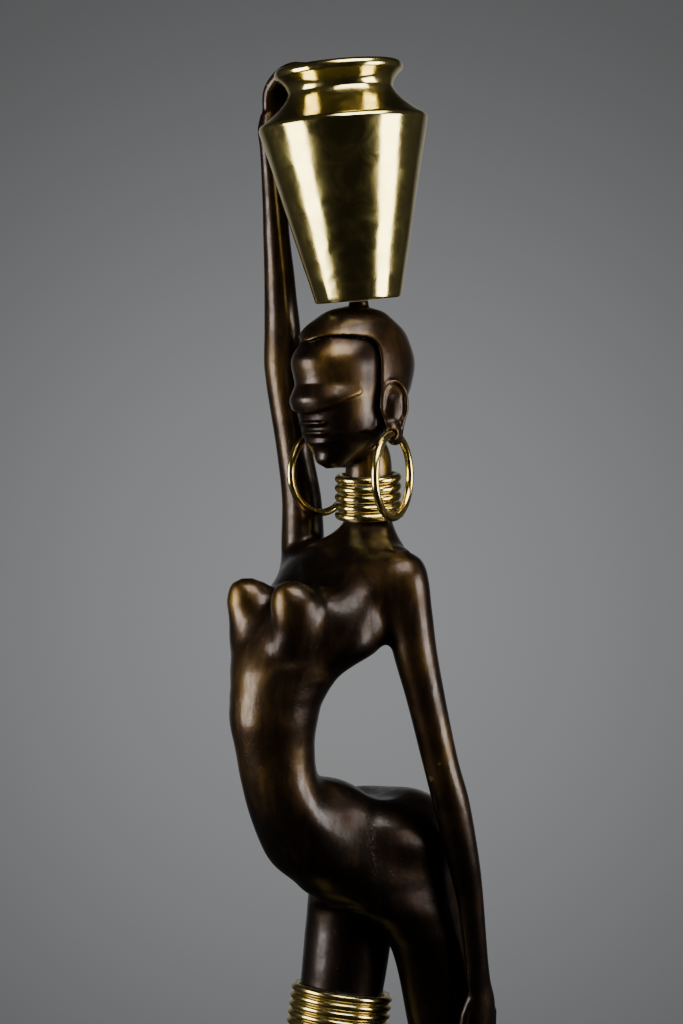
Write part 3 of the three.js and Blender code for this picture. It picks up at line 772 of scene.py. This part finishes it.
# The jar's outline: under the foot, up the flare, over the shoulder, neck and lip
def jar_outside():
    foot, shoulder, neck, lip = JAR_FOOT_RADIUS, JAR_SHOULDER_RADIUS, JAR_NECK_RADIUS, JAR_LIP_RADIUS
    crease, top = JAR_SHOULDER_HEIGHT, JAR_HEIGHT
    outline = [(0.0, 0.0)]
    outline += run(outline[-1], (foot - 2.4, 0), 8)
    outline += bend(outline[-1], (foot, 0), (foot + 0.6, 2.4), 5)
    outline += run(outline[-1], (shoulder - 0.8, crease - 3), 50)
    outline += bend(outline[-1], (shoulder, crease), (shoulder - 3, crease + 3), 7)
    outline += bend(outline[-1], (neck + 5, JAR_NECK_HEIGHT - 14), (neck, JAR_NECK_HEIGHT), 20)
    outline += bend(outline[-1], (neck + 1, top - 18), (lip - 1, top - 10), 10)
    outline += bend(outline[-1], (lip + 2, top - 3), (lip - 4, top), 8)
    return outline


# The jar's outline inside: down the lip, the neck and the flare to its floor
def jar_inside(start):
    shoulder, neck, lip = JAR_SHOULDER_RADIUS, JAR_NECK_RADIUS, JAR_LIP_RADIUS
    inner = neck - JAR_WALL
    outline = bend(start, (lip - 10, JAR_HEIGHT), (lip - 12, JAR_HEIGHT - 8), 8)
    outline += bend(outline[-1], (inner, JAR_HEIGHT - 18), (inner, JAR_NECK_HEIGHT), 10)
    widest = (shoulder - JAR_WALL - 3, JAR_SHOULDER_HEIGHT)
    outline += bend(outline[-1], (neck + 1, JAR_NECK_HEIGHT - 18), widest, 12)
    outline += run(outline[-1], (JAR_FOOT_RADIUS - JAR_WALL, JAR_WALL + 1), 30)
    outline += run(outline[-1], (0.0, JAR_WALL + 1), 6)
    return outline


# Slow random waves over points, for dents and the wobble of hand work
def waves(points, wavelength, seed, count=24):
    rng = np.random.default_rng(seed)
    total = np.zeros(len(points))
    for _ in range(count):
        direction = rng.normal(size=3)
        direction *= 2 * math.pi / (wavelength * rng.uniform(0.7, 1.5)) / np.linalg.norm(direction)
        total += np.cos(points @ direction + rng.uniform(0, 2 * math.pi))
    return total / math.sqrt(count)


# The jar, with the slight dents and uneven spinning of sheet metal
def make_jar():
    sides = 160
    outside = jar_outside()
    outline = outside + jar_inside(outside[-1])
    vertices, faces = turned(outline, sides)
    radial = vertices * (1.0, 1.0, 0.0)
    radial /= np.maximum(np.linalg.norm(radial, axis=1), 1e-6)[:, None]
    dents = 0.16 * waves(vertices, 60, 7) + 0.05 * waves(vertices, 16, 8)
    vertices = vertices + radial * (dents * eased(vertices[:, 2], 6, 30))[:, None]
    turn = np.array(Matrix.Rotation(JAR_TILT, 3, "X"))
    piece = mesh_object("jar_polished", vertices @ turn.T + np.array(JAR_FOOT), faces)
    rings = np.repeat(np.arange(1, len(outline) - 1), sides)
    paint(piece, "inner", np.append(rings > len(outside), [0.0, 1.0]))
    return piece


# A round wire along a ring about +Z, or along part of one with round ends
def wire_ring(radius, wire, around, across, seed, start=0.0, sweep=360.0, flare=0.0):
    closed = sweep >= 360.0
    share = np.linspace(0, 1, around, endpoint=not closed)
    angles = np.radians(start + sweep * share)
    reach = radius + flare * eased(share, 0.93, 1.0)
    centres = np.stack([reach * np.cos(angles), reach * np.sin(angles), 0 * angles], axis=1)
    centres[:, 2] = 0.16 * waves(centres, 90, seed)
    outward = np.stack([np.cos(angles), np.sin(angles), 0 * angles], axis=1)
    turns = np.linspace(0, 2 * math.pi, across, endpoint=False)
    thick = wire + 0.05 * waves(centres, 40, seed + 1)
    if not closed:
        thick = thick * np.sqrt(1 - eased(np.abs(share - 0.5), 0.484, 0.5001) ** 2)
    upward = np.array([0, 0, 1.0])
    spokes = [math.cos(turn) * outward + math.sin(turn) * upward for turn in turns]
    vertices = np.stack([centres + thick[:, None] * spoke for spoke in spokes], axis=1).reshape(-1, 3)
    faces = []
    for i in range(around if closed else around - 1):
        quads = between_rows(across, i * across, (i + 1) % around * across)
        faces += [(a, d, c, b) for a, b, c, d in quads]
    if not closed:
        faces.append(tuple(range(across)))
        faces.append(tuple(reversed(range((around - 1) * across, around * across))))
    crease = np.tile(np.abs(np.sin(turns)) ** 14, around)
    return vertices, faces, crease


# A ring's piece, turned and put in its place, with its creases painted
def ring_piece(name, ring, turn, place, tarnish=1.0):
    vertices, faces, crease = ring
    piece = mesh_object(name, vertices @ np.array(turn).T + np.array(place), faces)
    paint(piece, "crease", tarnish * crease)
    return piece


# One ear hoop, a round rod through the lobe
def make_hoop(name, hoop, seed):
    ring = wire_ring(HOOP_RADIUS, HOOP_WIRE, 150, 20, seed)
    turn = Matrix.Rotation(math.pi - math.radians(hoop[3]), 3, "Y")
    pitch = Matrix.Rotation(math.pi / 2, 3, "X")
    return ring_piece(name, ring, pitch @ turn, hoop[:3], 0.15)


# One neck ring, tilted as the neck leans; the lowest ends in a cut wire at the back
def make_neck_ring(i):
    last = i == NECK_RINGS - 1
    part = {"start": 45.0, "sweep": 356.0, "flare": 4.0} if last else {}
    ring = wire_ring(NECK_RING_RADIUS, NECK_RING_WIRE, 110, 20, 40 + i, **part)
    forward_tilt, side_tilt = NECK_RING_TILTS
    turn = Matrix.Rotation(forward_tilt, 3, "X") @ Matrix.Rotation(side_tilt, 3, "Y")
    place = np.array(NECK_RING_TOP) - (0, 0, NECK_RING_PITCH * i)
    return ring_piece(f"neck_wire_{i + 1}", ring, turn, place)


# One thigh ring, square to the thigh
def make_thigh_ring(i):
    ring = wire_ring(THIGH_RING_RADIUS, THIGH_RING_WIRE, 140, 20, 60 + i)
    turn = Matrix.Rotation(-THIGH_RING_TILT, 3, "X")
    upward = np.array(turn)[:, 2]
    place = np.array(THIGH_RING_TOP) - upward * THIGH_RING_PITCH * i
    return ring_piece(f"thigh_wire_{i + 1}", ring, turn, place)


# The base, a slab with round corners and softened edges, uneven as a sand casting is
def make_base():
    width, depth, height = BASE_SIZE
    straight = np.array([width / 2 - BASE_CORNER, depth / 2 - BASE_CORNER])
    arc = np.radians(np.linspace(0, 90, 13))
    corners = []
    for k, signs in enumerate(((1, 1), (-1, 1), (-1, -1), (1, -1))):
        cx, cy = straight * signs
        for a in arc + k * math.pi / 2:
            corners.append((cx + BASE_CORNER * math.cos(a), cy + BASE_CORNER * math.sin(a)))
    outline = []
    for (ax, ay), (bx, by) in zip(corners, corners[1:] + corners[:1]):
        steps = max(1, round(math.dist((ax, ay), (bx, by)) / 6))
        outline += [(ax + (bx - ax) * t / steps, ay + (by - ay) * t / steps) for t in range(steps)]
    outline = np.array(outline)
    normals = outline - np.clip(outline, -straight, straight)
    normals /= np.linalg.norm(normals, axis=1)[:, None]
    under = np.radians(np.linspace(15, 90, 6))
    over = np.radians(np.linspace(0, 90, 7))
    profile = [(BASE_EDGE, 0.0)]
    profile += [(BASE_EDGE * (1 - math.sin(a)), BASE_EDGE * (1 - math.cos(a))) for a in under]
    profile += [(0.0, z) for z in np.linspace(8, height - 8, 4)]
    profile += [(BASE_EDGE * (1 - math.cos(a)), height - BASE_EDGE * (1 - math.sin(a))) for a in over]
    rows = [(outline - normals * inset, z) for inset, z in profile]
    rim = outline - normals * BASE_EDGE
    rows += [(rim * share, height) for share in (0.94, 0.8, 0.6, 0.4, 0.2)]
    count = len(outline)
    vertices = np.concatenate([np.column_stack([row, np.full(count, z)]) for row, z in rows])
    faces = []
    for i in range(len(rows) - 1):
        faces += between_rows(count, i * count, (i + 1) * count)
    faces.append(tuple(range(len(vertices) - count, len(vertices))))
    faces.append(tuple(reversed(range(count))))
    vertices[:, 2] += 0.12 * (waves(vertices, 60, 91) - 1.0) * eased(vertices[:, 2], 20, 34)
    return mesh_object("base_slab", vertices, faces)


# Where hands and cloths have rubbed the patina golden: place, radius and strength
RUBBED_PLACES = [
    ((40, -152, 1188), 34, 0.75),
    ((-40, -152, 1188), 34, 0.75),
    ((100, -14, 1218), 42, 0.45),
    ((34, -62, 1452), 34, 0.7),
    ((48, 10, 1470), 46, 0.4),
    ((24, 14, 1338), 26, 1.1),
    ((-118, -30, 1560), 60, 0.35),
    ((-120, -20, 1440), 70, 0.35),
    ((120, 30, 990), 60, 0.35),
    ((0, -130, 1110), 60, 0.45),
    ((30, -150, 1000), 60, 0.35),
    ((120, 70, 860), 60, 0.3),
]

# Painted shade: places painted darker, with their wax coat thinned: place, radius and strength
SHADED_PLACES = [
    ((58, -80, 1190), 46, 0.45),
    ((0, -62, 1215), 44, 0.45),
    ((19, -40, 1240), 32, 0.7),
    ((78, -22, 1238), 30, 0.6),
    ((28, -70, 859), 32, 0.75),
    ((58, -10, 818), 34, 0.75),
    ((48, 40, 735), 60, 0.7),
    ((46, 50, 660), 50, 0.6),
    ((92, -57, 1158), 20, 0.6),
    ((68, -117, 1175), 14, 0.4),
    ((33, -144, 1139), 15, 0.5),
    ((104, -24, 1222), 18, 0.35),
    ((118, 2, 1182), 26, 0.35),
    ((51, -27, 1458), 18, 0.75),
    ((52, -25, 1432), 15, 0.6),
    ((49, -22, 1374), 15, 0.65),
    ((2, -80, 1457), 11, 0.5),
    ((60, 0, 1462), 34, 0.5),
    ((66, 0, 1402), 13, 0.85),
    ((56, -62, 941), 30, 0.7),
    ((87, 4, 922), 26, 0.75),
    ((83, -4, 904), 26, 0.6),
    ((83, 23, 838), 36, 0.65),
    ((-30, -25, 806), 16, 0.6),
    ((-30, -25, 735), 16, 0.6),
]

# The weld seam down her left hip: height, and place across as seen from the camera
WELD_SEAM = [(826, 27.5), (848, 22.7), (872, 20.5), (894, 19.4), (915, 18.4), (936, 19.8)]

# Chips down to bare metal and specks of green: place and radius
CHIPS = [((113.4, 12, 985), 4.6), ((82, 4, 817), 2.4), ((126, 14, 1003), 2.2), ((108, -26, 1170), 1.8)]
GREEN_SPECKS = [((-14, -20, 794), 5.5), ((76, -30, 880), 3.0), ((80, -10, 872), 2.4)]


# How near points are to listed places, weighed by their strengths
def nearness(points, places):
    nearest = np.zeros(len(points))
    for centre, radius, strength in places:
        away = np.linalg.norm(points - np.array(centre), axis=1)
        nearest = np.maximum(nearest, strength * hump(away, radius))
    return nearest


# How far each place on the figure is rubbed bright, with a painted highlight along the mask's lower edge,
# and how deep it lies in a hollow, with painted shade at listed places
def paint_figure(piece):
    points = vertices_of(piece)
    x, y, z = points.T
    rubbed = np.zeros(len(points))
    hollow = np.zeros(len(points))
    order = np.floor(z / 60.0).astype(int)
    for level in np.unique(order):
        chosen = order == level
        place = points[chosen]
        _, slope = slope_at(figure_distance, place)
        normal = slope / np.maximum(np.linalg.norm(slope, axis=1), 1e-6)[:, None]
        within = figure_distance(*(place - 5 * normal).T)
        beyond = figure_distance(*(place + 8 * normal).T)
        rubbed[chosen] = np.clip((within + 5) / 5, 0, 1)
        hollow[chosen] = np.clip((8 - beyond) / 8, 0, 1)
    # Painted shade at the listed places is added to the hollows
    hollow = np.maximum(hollow, nearness(points, SHADED_PLACES))
    # A painted highlight: a thin lighter line along the mask's lower edge, on her front, joined with the
    # rubbed places
    brim = (np.hypot(x / MASK[0], (z - MASK[2]) / MASK[1]) - 1.0) * 42.0
    front = eased(-y, 14, 28) * (z < 1424)
    rubbed_and_highlight = np.maximum(nearness(points, RUBBED_PLACES), 0.5 * hump(brim + 0.3, 1.6) * front)
    across = x * math.cos(AZIMUTH) + y * math.sin(AZIMUTH)
    nearer = x * math.sin(AZIMUTH) - y * math.cos(AZIMUTH)
    heights, middles = zip(*WELD_SEAM)
    beside = across - np.interp(z, heights, middles)
    bottom = heights[0]
    top = heights[-1]
    along = eased(z, bottom - 8, bottom + 8) * (1 - eased(z, top - 8, top + 8))
    paint(piece, "seam", hump(beside, 4.0) * along * (nearer > 0))
    paint(piece, "rubbed", rubbed)
    paint(piece, "hollow", hollow)
    paint(piece, "rubbed_and_highlight", rubbed_and_highlight)


# Where a mix node keeps its two colours and their result
MIX_FIRST = 6
MIX_SECOND = 7
MIX_RESULT = 2


# A node with its settings made and its inputs linked or set
def node(tree, kind, inputs=None, **settings):
    made = tree.nodes.new("ShaderNode" + kind)
    for name, value in settings.items():
        setattr(made, name, value)
    for name, value in (inputs or {}).items():
        if isinstance(value, bpy.types.NodeSocket):
            tree.links.new(value, made.inputs[name])
        else:
            made.inputs[name].default_value = value
    return made


# A calculation on one or two values
def calc(tree, operation, a, b=0.0, clamp=False):
    return node(tree, "Math", {0: a, 1: b}, operation=operation, use_clamp=clamp).outputs[0]


# The product of two values
def times(tree, a, b):
    return calc(tree, "MULTIPLY", a, b)


# The sum of two values
def plus(tree, a, b, clamp=False):
    return calc(tree, "ADD", a, b, clamp)


# A value stretched from one range to another, and kept inside it
def ranged(tree, value, low, high, to_low=0.0, to_high=1.0):
    inputs = {0: value, 1: low, 2: high, 3: to_low, 4: to_high}
    return node(tree, "MapRange", inputs, interpolation_type="SMOOTHSTEP").outputs[0]


# Cloudy noise over a piece, with features about so many millimetres across
def clouds(tree, vector, size, detail=4.0, roughness=0.55, distortion=0.0):
    inputs = {
        "Vector": vector,
        "Scale": 1.0 / (size * MM),
        "Detail": detail,
        "Roughness": roughness,
        "Distortion": distortion,
    }
    return node(tree, "TexNoise", inputs).outputs[0]


# A colour picked along a row of stops
def ramp(tree, value, stops):
    made = node(tree, "ValToRGB", {0: value})
    elements = made.color_ramp.elements
    while len(elements) < len(stops):
        elements.new(0.5)
    for element, (place, color) in zip(elements, stops):
        element.position = place
        element.color = (*color, 1.0)
    return made.outputs[0]


# Two colours mixed
def mixed(tree, share, a, b):
    first, second = (v if isinstance(v, bpy.types.NodeSocket) else (*v, 1.0) for v in (a, b))
    inputs = {0: share, MIX_FIRST: first, MIX_SECOND: second}
    return node(tree, "Mix", inputs, data_type="RGBA").outputs[MIX_RESULT]


# A new material, its empty tree, and the place on the piece in metres
def new_material(name):
    material = bpy.data.materials.new(name)
    material.use_nodes = True
    tree = material.node_tree
    tree.nodes.clear()
    return material, tree, node(tree, "TexCoord").outputs["Object"]


# The material's surface, out of its shader's inputs
def set_surface(tree, inputs):
    shader = node(tree, "BsdfPrincipled", inputs)
    node(tree, "OutputMaterial", {"Surface": shader.outputs[0]})


# A number painted on the piece's vertices
def painted(tree, name):
    return node(tree, "Attribute", attribute_name=name).outputs["Fac"]


# Relief from a height field in millimetres
def relief(tree, height, strength):
    inputs = {"Height": height, "Distance": MM, "Strength": strength}
    return node(tree, "Bump", inputs).outputs[0]


# Small ragged spots at given places
def spots_at(tree, place, spots, ragged):
    total = 0.0
    for centre, radius in spots:
        inputs = {0: place, 1: tuple(v * MM for v in centre)}
        away = node(tree, "VectorMath", inputs, operation="DISTANCE").outputs["Value"]
        near = calc(tree, "SUBTRACT", 1.0, calc(tree, "DIVIDE", away, radius * MM))
        spot = ranged(tree, plus(tree, near, times(tree, ragged, 2.4)), 1.25, 1.5)
        total = calc(tree, "MAXIMUM", total, times(tree, spot, ranged(tree, near, -0.2, 0.2)))
    return total


# Dark waxed patina over cast bronze, golden brown where it is rubbed, with pits, chips and green specks; on
# the figure also painted shade and a painted highlight line
def bronze_material(name, has_paint):
    material, tree, place = new_material(name)
    stretched = node(tree, "Mapping", {"Vector": place, "Scale": (1.0, 1.0, 0.35)}).outputs[0]
    patches = clouds(tree, place, 70, 4, 0.5, 0.3)
    streaks = clouds(tree, stretched, 20, 4, 0.55, 0.5)
    tone = ranged(tree, patches, 0.35, 0.7, 0.0, 0.26)
    tone = plus(tree, tone, ranged(tree, streaks, 0.4, 0.7, -0.05, 0.12))
    if has_paint:
        tone = plus(tree, tone, times(tree, painted(tree, "rubbed"), 0.3))
        # Lighter at the rubbed places and along the painted highlight line at the mask's edge
        tone = plus(tree, tone, times(tree, painted(tree, "rubbed_and_highlight"), 0.6))
        # Darker in hollows and where painted shade is laid
        tone = calc(tree, "SUBTRACT", tone, times(tree, painted(tree, "hollow"), 0.55))
        # Painted shade: darker towards the bottom over the hips and legs, a little lighter above the waist
        height_here = node(tree, "SeparateXYZ", {0: place}).outputs["Z"]
        tone = plus(tree, tone, ranged(tree, height_here, 0.80, 1.08, -0.15, 0.05), clamp=True)
    stops = [
        (0.0, (0.0115, 0.0060, 0.0030)),
        (0.25, (0.027, 0.0130, 0.0042)),
        (0.5, (0.057, 0.0300, 0.0055)),
        (0.75, (0.135, 0.0740, 0.0100)),
        (1.0, (0.34, 0.21, 0.035)),
    ]
    color = ramp(tree, tone, stops)
    ragged = clouds(tree, place, 3.5, 3, 0.6)
    chips = ranged(tree, clouds(tree, place, 7.0, 2, 0.5, 0.3), 0.785, 0.81)
    green = ranged(tree, clouds(tree, place, 10.0, 2, 0.4, 0.5), 0.785, 0.815)
    seam_relief = 0.0
    if has_paint:
        chips = calc(tree, "MAXIMUM", chips, spots_at(tree, place, CHIPS, ragged))
        green = calc(tree, "MAXIMUM", green, spots_at(tree, place, GREEN_SPECKS, ragged))
        seam = times(tree, painted(tree, "seam"), ranged(tree, ragged, 0.42, 0.62))
        color = mixed(tree, times(tree, seam, 0.30), color, (0.075, 0.06, 0.035))
        seam_relief = times(tree, seam, -0.12)
    color = mixed(tree, times(tree, chips, 0.6), color, (0.26, 0.18, 0.05))
    color = mixed(tree, times(tree, green, 0.55), color, (0.028, 0.075, 0.05))
    worn = clouds(tree, stretched, 9, 3, 0.6, 0.4)
    wax = ranged(tree, worn, 0.3, 0.7, 0.60, 0.30)
    if has_paint:
        dulled = times(tree, painted(tree, "hollow"), 1.3)
        wax = times(tree, wax, calc(tree, "SUBTRACT", 1.0, dulled, clamp=True))
    lumps = times(tree, clouds(tree, place, 26, 3, 0.45), 0.9)
    pits = ranged(tree, clouds(tree, place, 3.2, 2, 0.5), 0.24, 0.33, -0.1, 0.0)
    grain = times(tree, clouds(tree, place, 2.2, 2, 0.5), 0.05)
    height = plus(tree, plus(tree, lumps, pits), plus(tree, grain, seam_relief))
    normal = relief(tree, height, 0.8)
    surface = {
        "Base Color": color,
        "Metallic": 0.95,
        "Roughness": ranged(tree, streaks, 0.3, 0.75, 0.36, 0.48),
        "Normal": normal,
        "Coat Weight": wax,
        "Coat Roughness": ranged(tree, worn, 0.3, 0.7, 0.19, 0.29),
        "Coat IOR": 1.5,
        "Coat Normal": normal,
    }
    set_surface(tree, surface)
    return material


# Polished brass: smudged, faintly scratched, tarnished in spots and creases
def brass_material(name, base, dark, crease_name, roughness, verdigris, dent):
    material, tree, place = new_material(name)
    smudge = clouds(tree, place, 30, 5, 0.62, 0.7)
    spots = ranged(tree, clouds(tree, place, 4.2, 2, 0.5, 0.2), 0.70, 0.76)
    color = mixed(tree, ranged(tree, smudge, 0.35, 0.75, 0.0, 0.35), base, dark)
    color = mixed(tree, times(tree, spots, 0.55), color, tuple(0.35 * v for v in dark))
    crease = painted(tree, crease_name)
    uneven = ranged(tree, clouds(tree, place, 7, 3, 0.6), 0.32, 0.6)
    aged = times(tree, crease, uneven)
    color = mixed(tree, aged, color, verdigris)
    rough = ranged(tree, smudge, 0.3, 0.75, roughness, roughness * 2.1)
    rough = plus(tree, rough, times(tree, aged, 0.35))
    brushed = {"Vector": place, "Scale": (1.0, 1.0, 0.06), "Rotation": (0.3, 0.2, 0.5)}
    scratch_space = node(tree, "Mapping", brushed).outputs[0]
    scratches = ranged(tree, clouds(tree, scratch_space, 1.4, 2, 0.5), 0.66, 0.76, 0.0, -0.008)
    dents = times(tree, clouds(tree, place, 24, 2, 0.5), dent)
    normal = relief(tree, plus(tree, scratches, dents), 0.6)
    set_surface(tree, {"Base Color": color, "Metallic": 1.0, "Roughness": rough, "Normal": normal})
    return material


figure = make_figure()
paint_figure(figure)
jar = make_jar()
hoops = [make_hoop("hoop_left", LEFT_HOOP, 21), make_hoop("hoop_right", RIGHT_HOOP, 24)]
neck_wires = [make_neck_ring(i) for i in range(NECK_RINGS)]
thigh_wires = [make_thigh_ring(i) for i in range(THIGH_RINGS)]
base = make_base()

bronze = bronze_material("patinated_bronze", True)
base_bronze = bronze_material("base_bronze", False)
jar_brass = brass_material(
    "jar_brass", (0.70, 0.57, 0.19), (0.46, 0.34, 0.09), "inner", 0.10, (0.10, 0.065, 0.03), 0.10
)
ring_brass = brass_material(
    "ring_brass", (0.72, 0.55, 0.19), (0.38, 0.28, 0.08), "crease", 0.12, (0.50, 0.66, 0.58), 0.04
)
hoop_brass = brass_material(
    "hoop_brass", (0.72, 0.55, 0.17), (0.44, 0.33, 0.09), "crease", 0.11, (0.25, 0.27, 0.20), 0.03
)

# Each piece takes its material, rides on the one body and stands for its node
dressed = [
    (figure, bronze, "figure_bronze", "figure"),
    (jar, jar_brass, "jar_brass", "jar"),
    (base, base_bronze, "base_bronze", "base"),
    (hoops[0], hoop_brass, "hoop_brass", "earring_left"),
    (hoops[1], hoop_brass, "hoop_brass", "earring_right"),
]
dressed += [(piece, ring_brass, "ring_brass", f"neck_ring_{i + 1}") for i, piece in enumerate(neck_wires)]
dressed += [(piece, ring_brass, "ring_brass", f"thigh_ring_{i + 1}") for i, piece in enumerate(thigh_wires)]
for piece, material, slot, cad_node in dressed:
    piece.data.materials.append(material)
    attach(piece, "root")
    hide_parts(cad_node)

# Camera at the photograph's place: 50 degrees round to her left, level with her neck
camera_data = bpy.data.cameras.new("camera")
camera_data.sensor_width = 36.0
camera_data.lens = FOCAL_PIXELS / PICTURE_PIXELS * camera_data.sensor_width
camera = bpy.data.objects.new("camera", camera_data)
bpy.context.scene.collection.objects.link(camera)
right = Vector((math.cos(AZIMUTH), math.sin(AZIMUTH), 0))
forward = Vector((-math.sin(AZIMUTH), math.cos(AZIMUTH), 0))
camera.location = (forward * -CAMERA_AWAY + right * CAMERA_ASIDE + Vector((0, 0, CAMERA_HEIGHT))) * MM
pitch = math.atan(DROP_PIXELS / FOCAL_PIXELS)
look = forward * math.cos(pitch) - Vector((0, 0, math.sin(pitch)))
camera.rotation_mode = "QUATERNION"
camera.rotation_quaternion = look.to_track_quat("-Z", "Y")
bpy.context.scene.camera = camera


# The floor: a pale round sheet that fades out at its rim
def make_floor():
    radius = 2300
    sides = 96
    turns = np.linspace(0, 2 * math.pi, sides, endpoint=False)
    vertices = [(0, 0, 0)] + [(radius * math.cos(a), radius * math.sin(a), 0) for a in turns]
    faces = [(0, 1 + i, 1 + (i + 1) % sides) for i in range(sides)]
    floor = mesh_object("floor", vertices, faces)
    material, tree, place = new_material("pale_floor")
    shade = ranged(tree, clouds(tree, place, 300, 3), 0.3, 0.7, 0.0, 1.0)
    color = mixed(tree, shade, (0.50, 0.50, 0.49), (0.54, 0.54, 0.53))
    away = node(tree, "VectorMath", {0: place}, operation="LENGTH").outputs["Value"]
    fading = ranged(tree, away, 1.5, 2.28, 1.0, 0.0)
    set_surface(tree, {"Base Color": color, "Roughness": 0.75, "Alpha": fading})
    floor.data.materials.append(material)
    floor.visible_glossy = False
    return floor


# A soft studio box: degrees round from the camera, distance, height, size, watts and height aimed at
def softbox(name, degrees, distance, height, width, tall, power, aim):
    angle = AZIMUTH + math.radians(degrees)
    light = bpy.data.lights.new(name, "AREA")
    light.shape = "RECTANGLE"
    light.size = width
    light.size_y = tall
    light.energy = power
    lamp = bpy.data.objects.new(name, light)
    bpy.context.scene.collection.objects.link(lamp)
    lamp.location = (math.sin(angle) * distance, -math.cos(angle) * distance, height)
    lamp.rotation_mode = "QUATERNION"
    lamp.rotation_quaternion = (Vector((0, 0, aim)) - lamp.location).to_track_quat("-Z", "Y")
    lamp.visible_camera = False
    return lamp


# How far a direction points along another: 1 along it, 0 square to it
def toward(tree, direction, other):
    inputs = {0: direction, 1: tuple(other)}
    return node(tree, "VectorMath", inputs, operation="DOT_PRODUCT").outputs["Value"]


# Studio surroundings: pale behind her, dim in front, and a grey backdrop, palest behind her chest
def make_world():
    world = bpy.data.worlds.new("studio")
    bpy.context.scene.world = world
    world.use_nodes = True
    tree = world.node_tree
    tree.nodes.clear()
    direction = node(tree, "TexCoord").outputs["Generated"]
    height = node(tree, "SeparateXYZ", {0: direction}).outputs["Z"]
    rim = ranged(tree, toward(tree, direction, forward), 0.72, 0.97, 0.0, 0.30)
    level = ranged(tree, height, 0.2, 0.5, 1.0, 0.1)
    level = times(tree, level, ranged(tree, height, -0.34, -0.12, 0.1, 1.0))
    sideways = calc(tree, "ABSOLUTE", toward(tree, direction, right))
    spill = ranged(tree, sideways, 0.35, 0.95, 0.012, 0.045)
    surround = plus(tree, times(tree, rim, level), spill)
    palest = forward * math.cos(GLOW_DIP) - Vector((0, 0, math.sin(GLOW_DIP)))
    aside = times(tree, calc(tree, "SUBTRACT", toward(tree, direction, palest), 1.0), 30.0)
    backdrop = plus(tree, times(tree, calc(tree, "EXPONENT", aside), 0.21), 0.065)
    seen = node(tree, "LightPath").outputs["Is Camera Ray"]
    lit = times(tree, surround, calc(tree, "SUBTRACT", 1.0, seen))
    strength = plus(tree, lit, times(tree, backdrop, seen))
    shader = node(tree, "Background", {"Color": (0.97, 0.98, 1.0, 1.0), "Strength": strength})
    node(tree, "OutputWorld", {"Surface": shader.outputs[0]})


make_floor()
make_world()
softbox("left_box", -71, 1.9, 1.195, 1.0, 1.17, 46, 1.2)
softbox("right_box", 69, 1.9, 1.22, 1.0, 1.12, 44, 1.2)
softbox("high_box", 25, 1.05, 2.8, 1.5, 1.2, 60, 1.35)
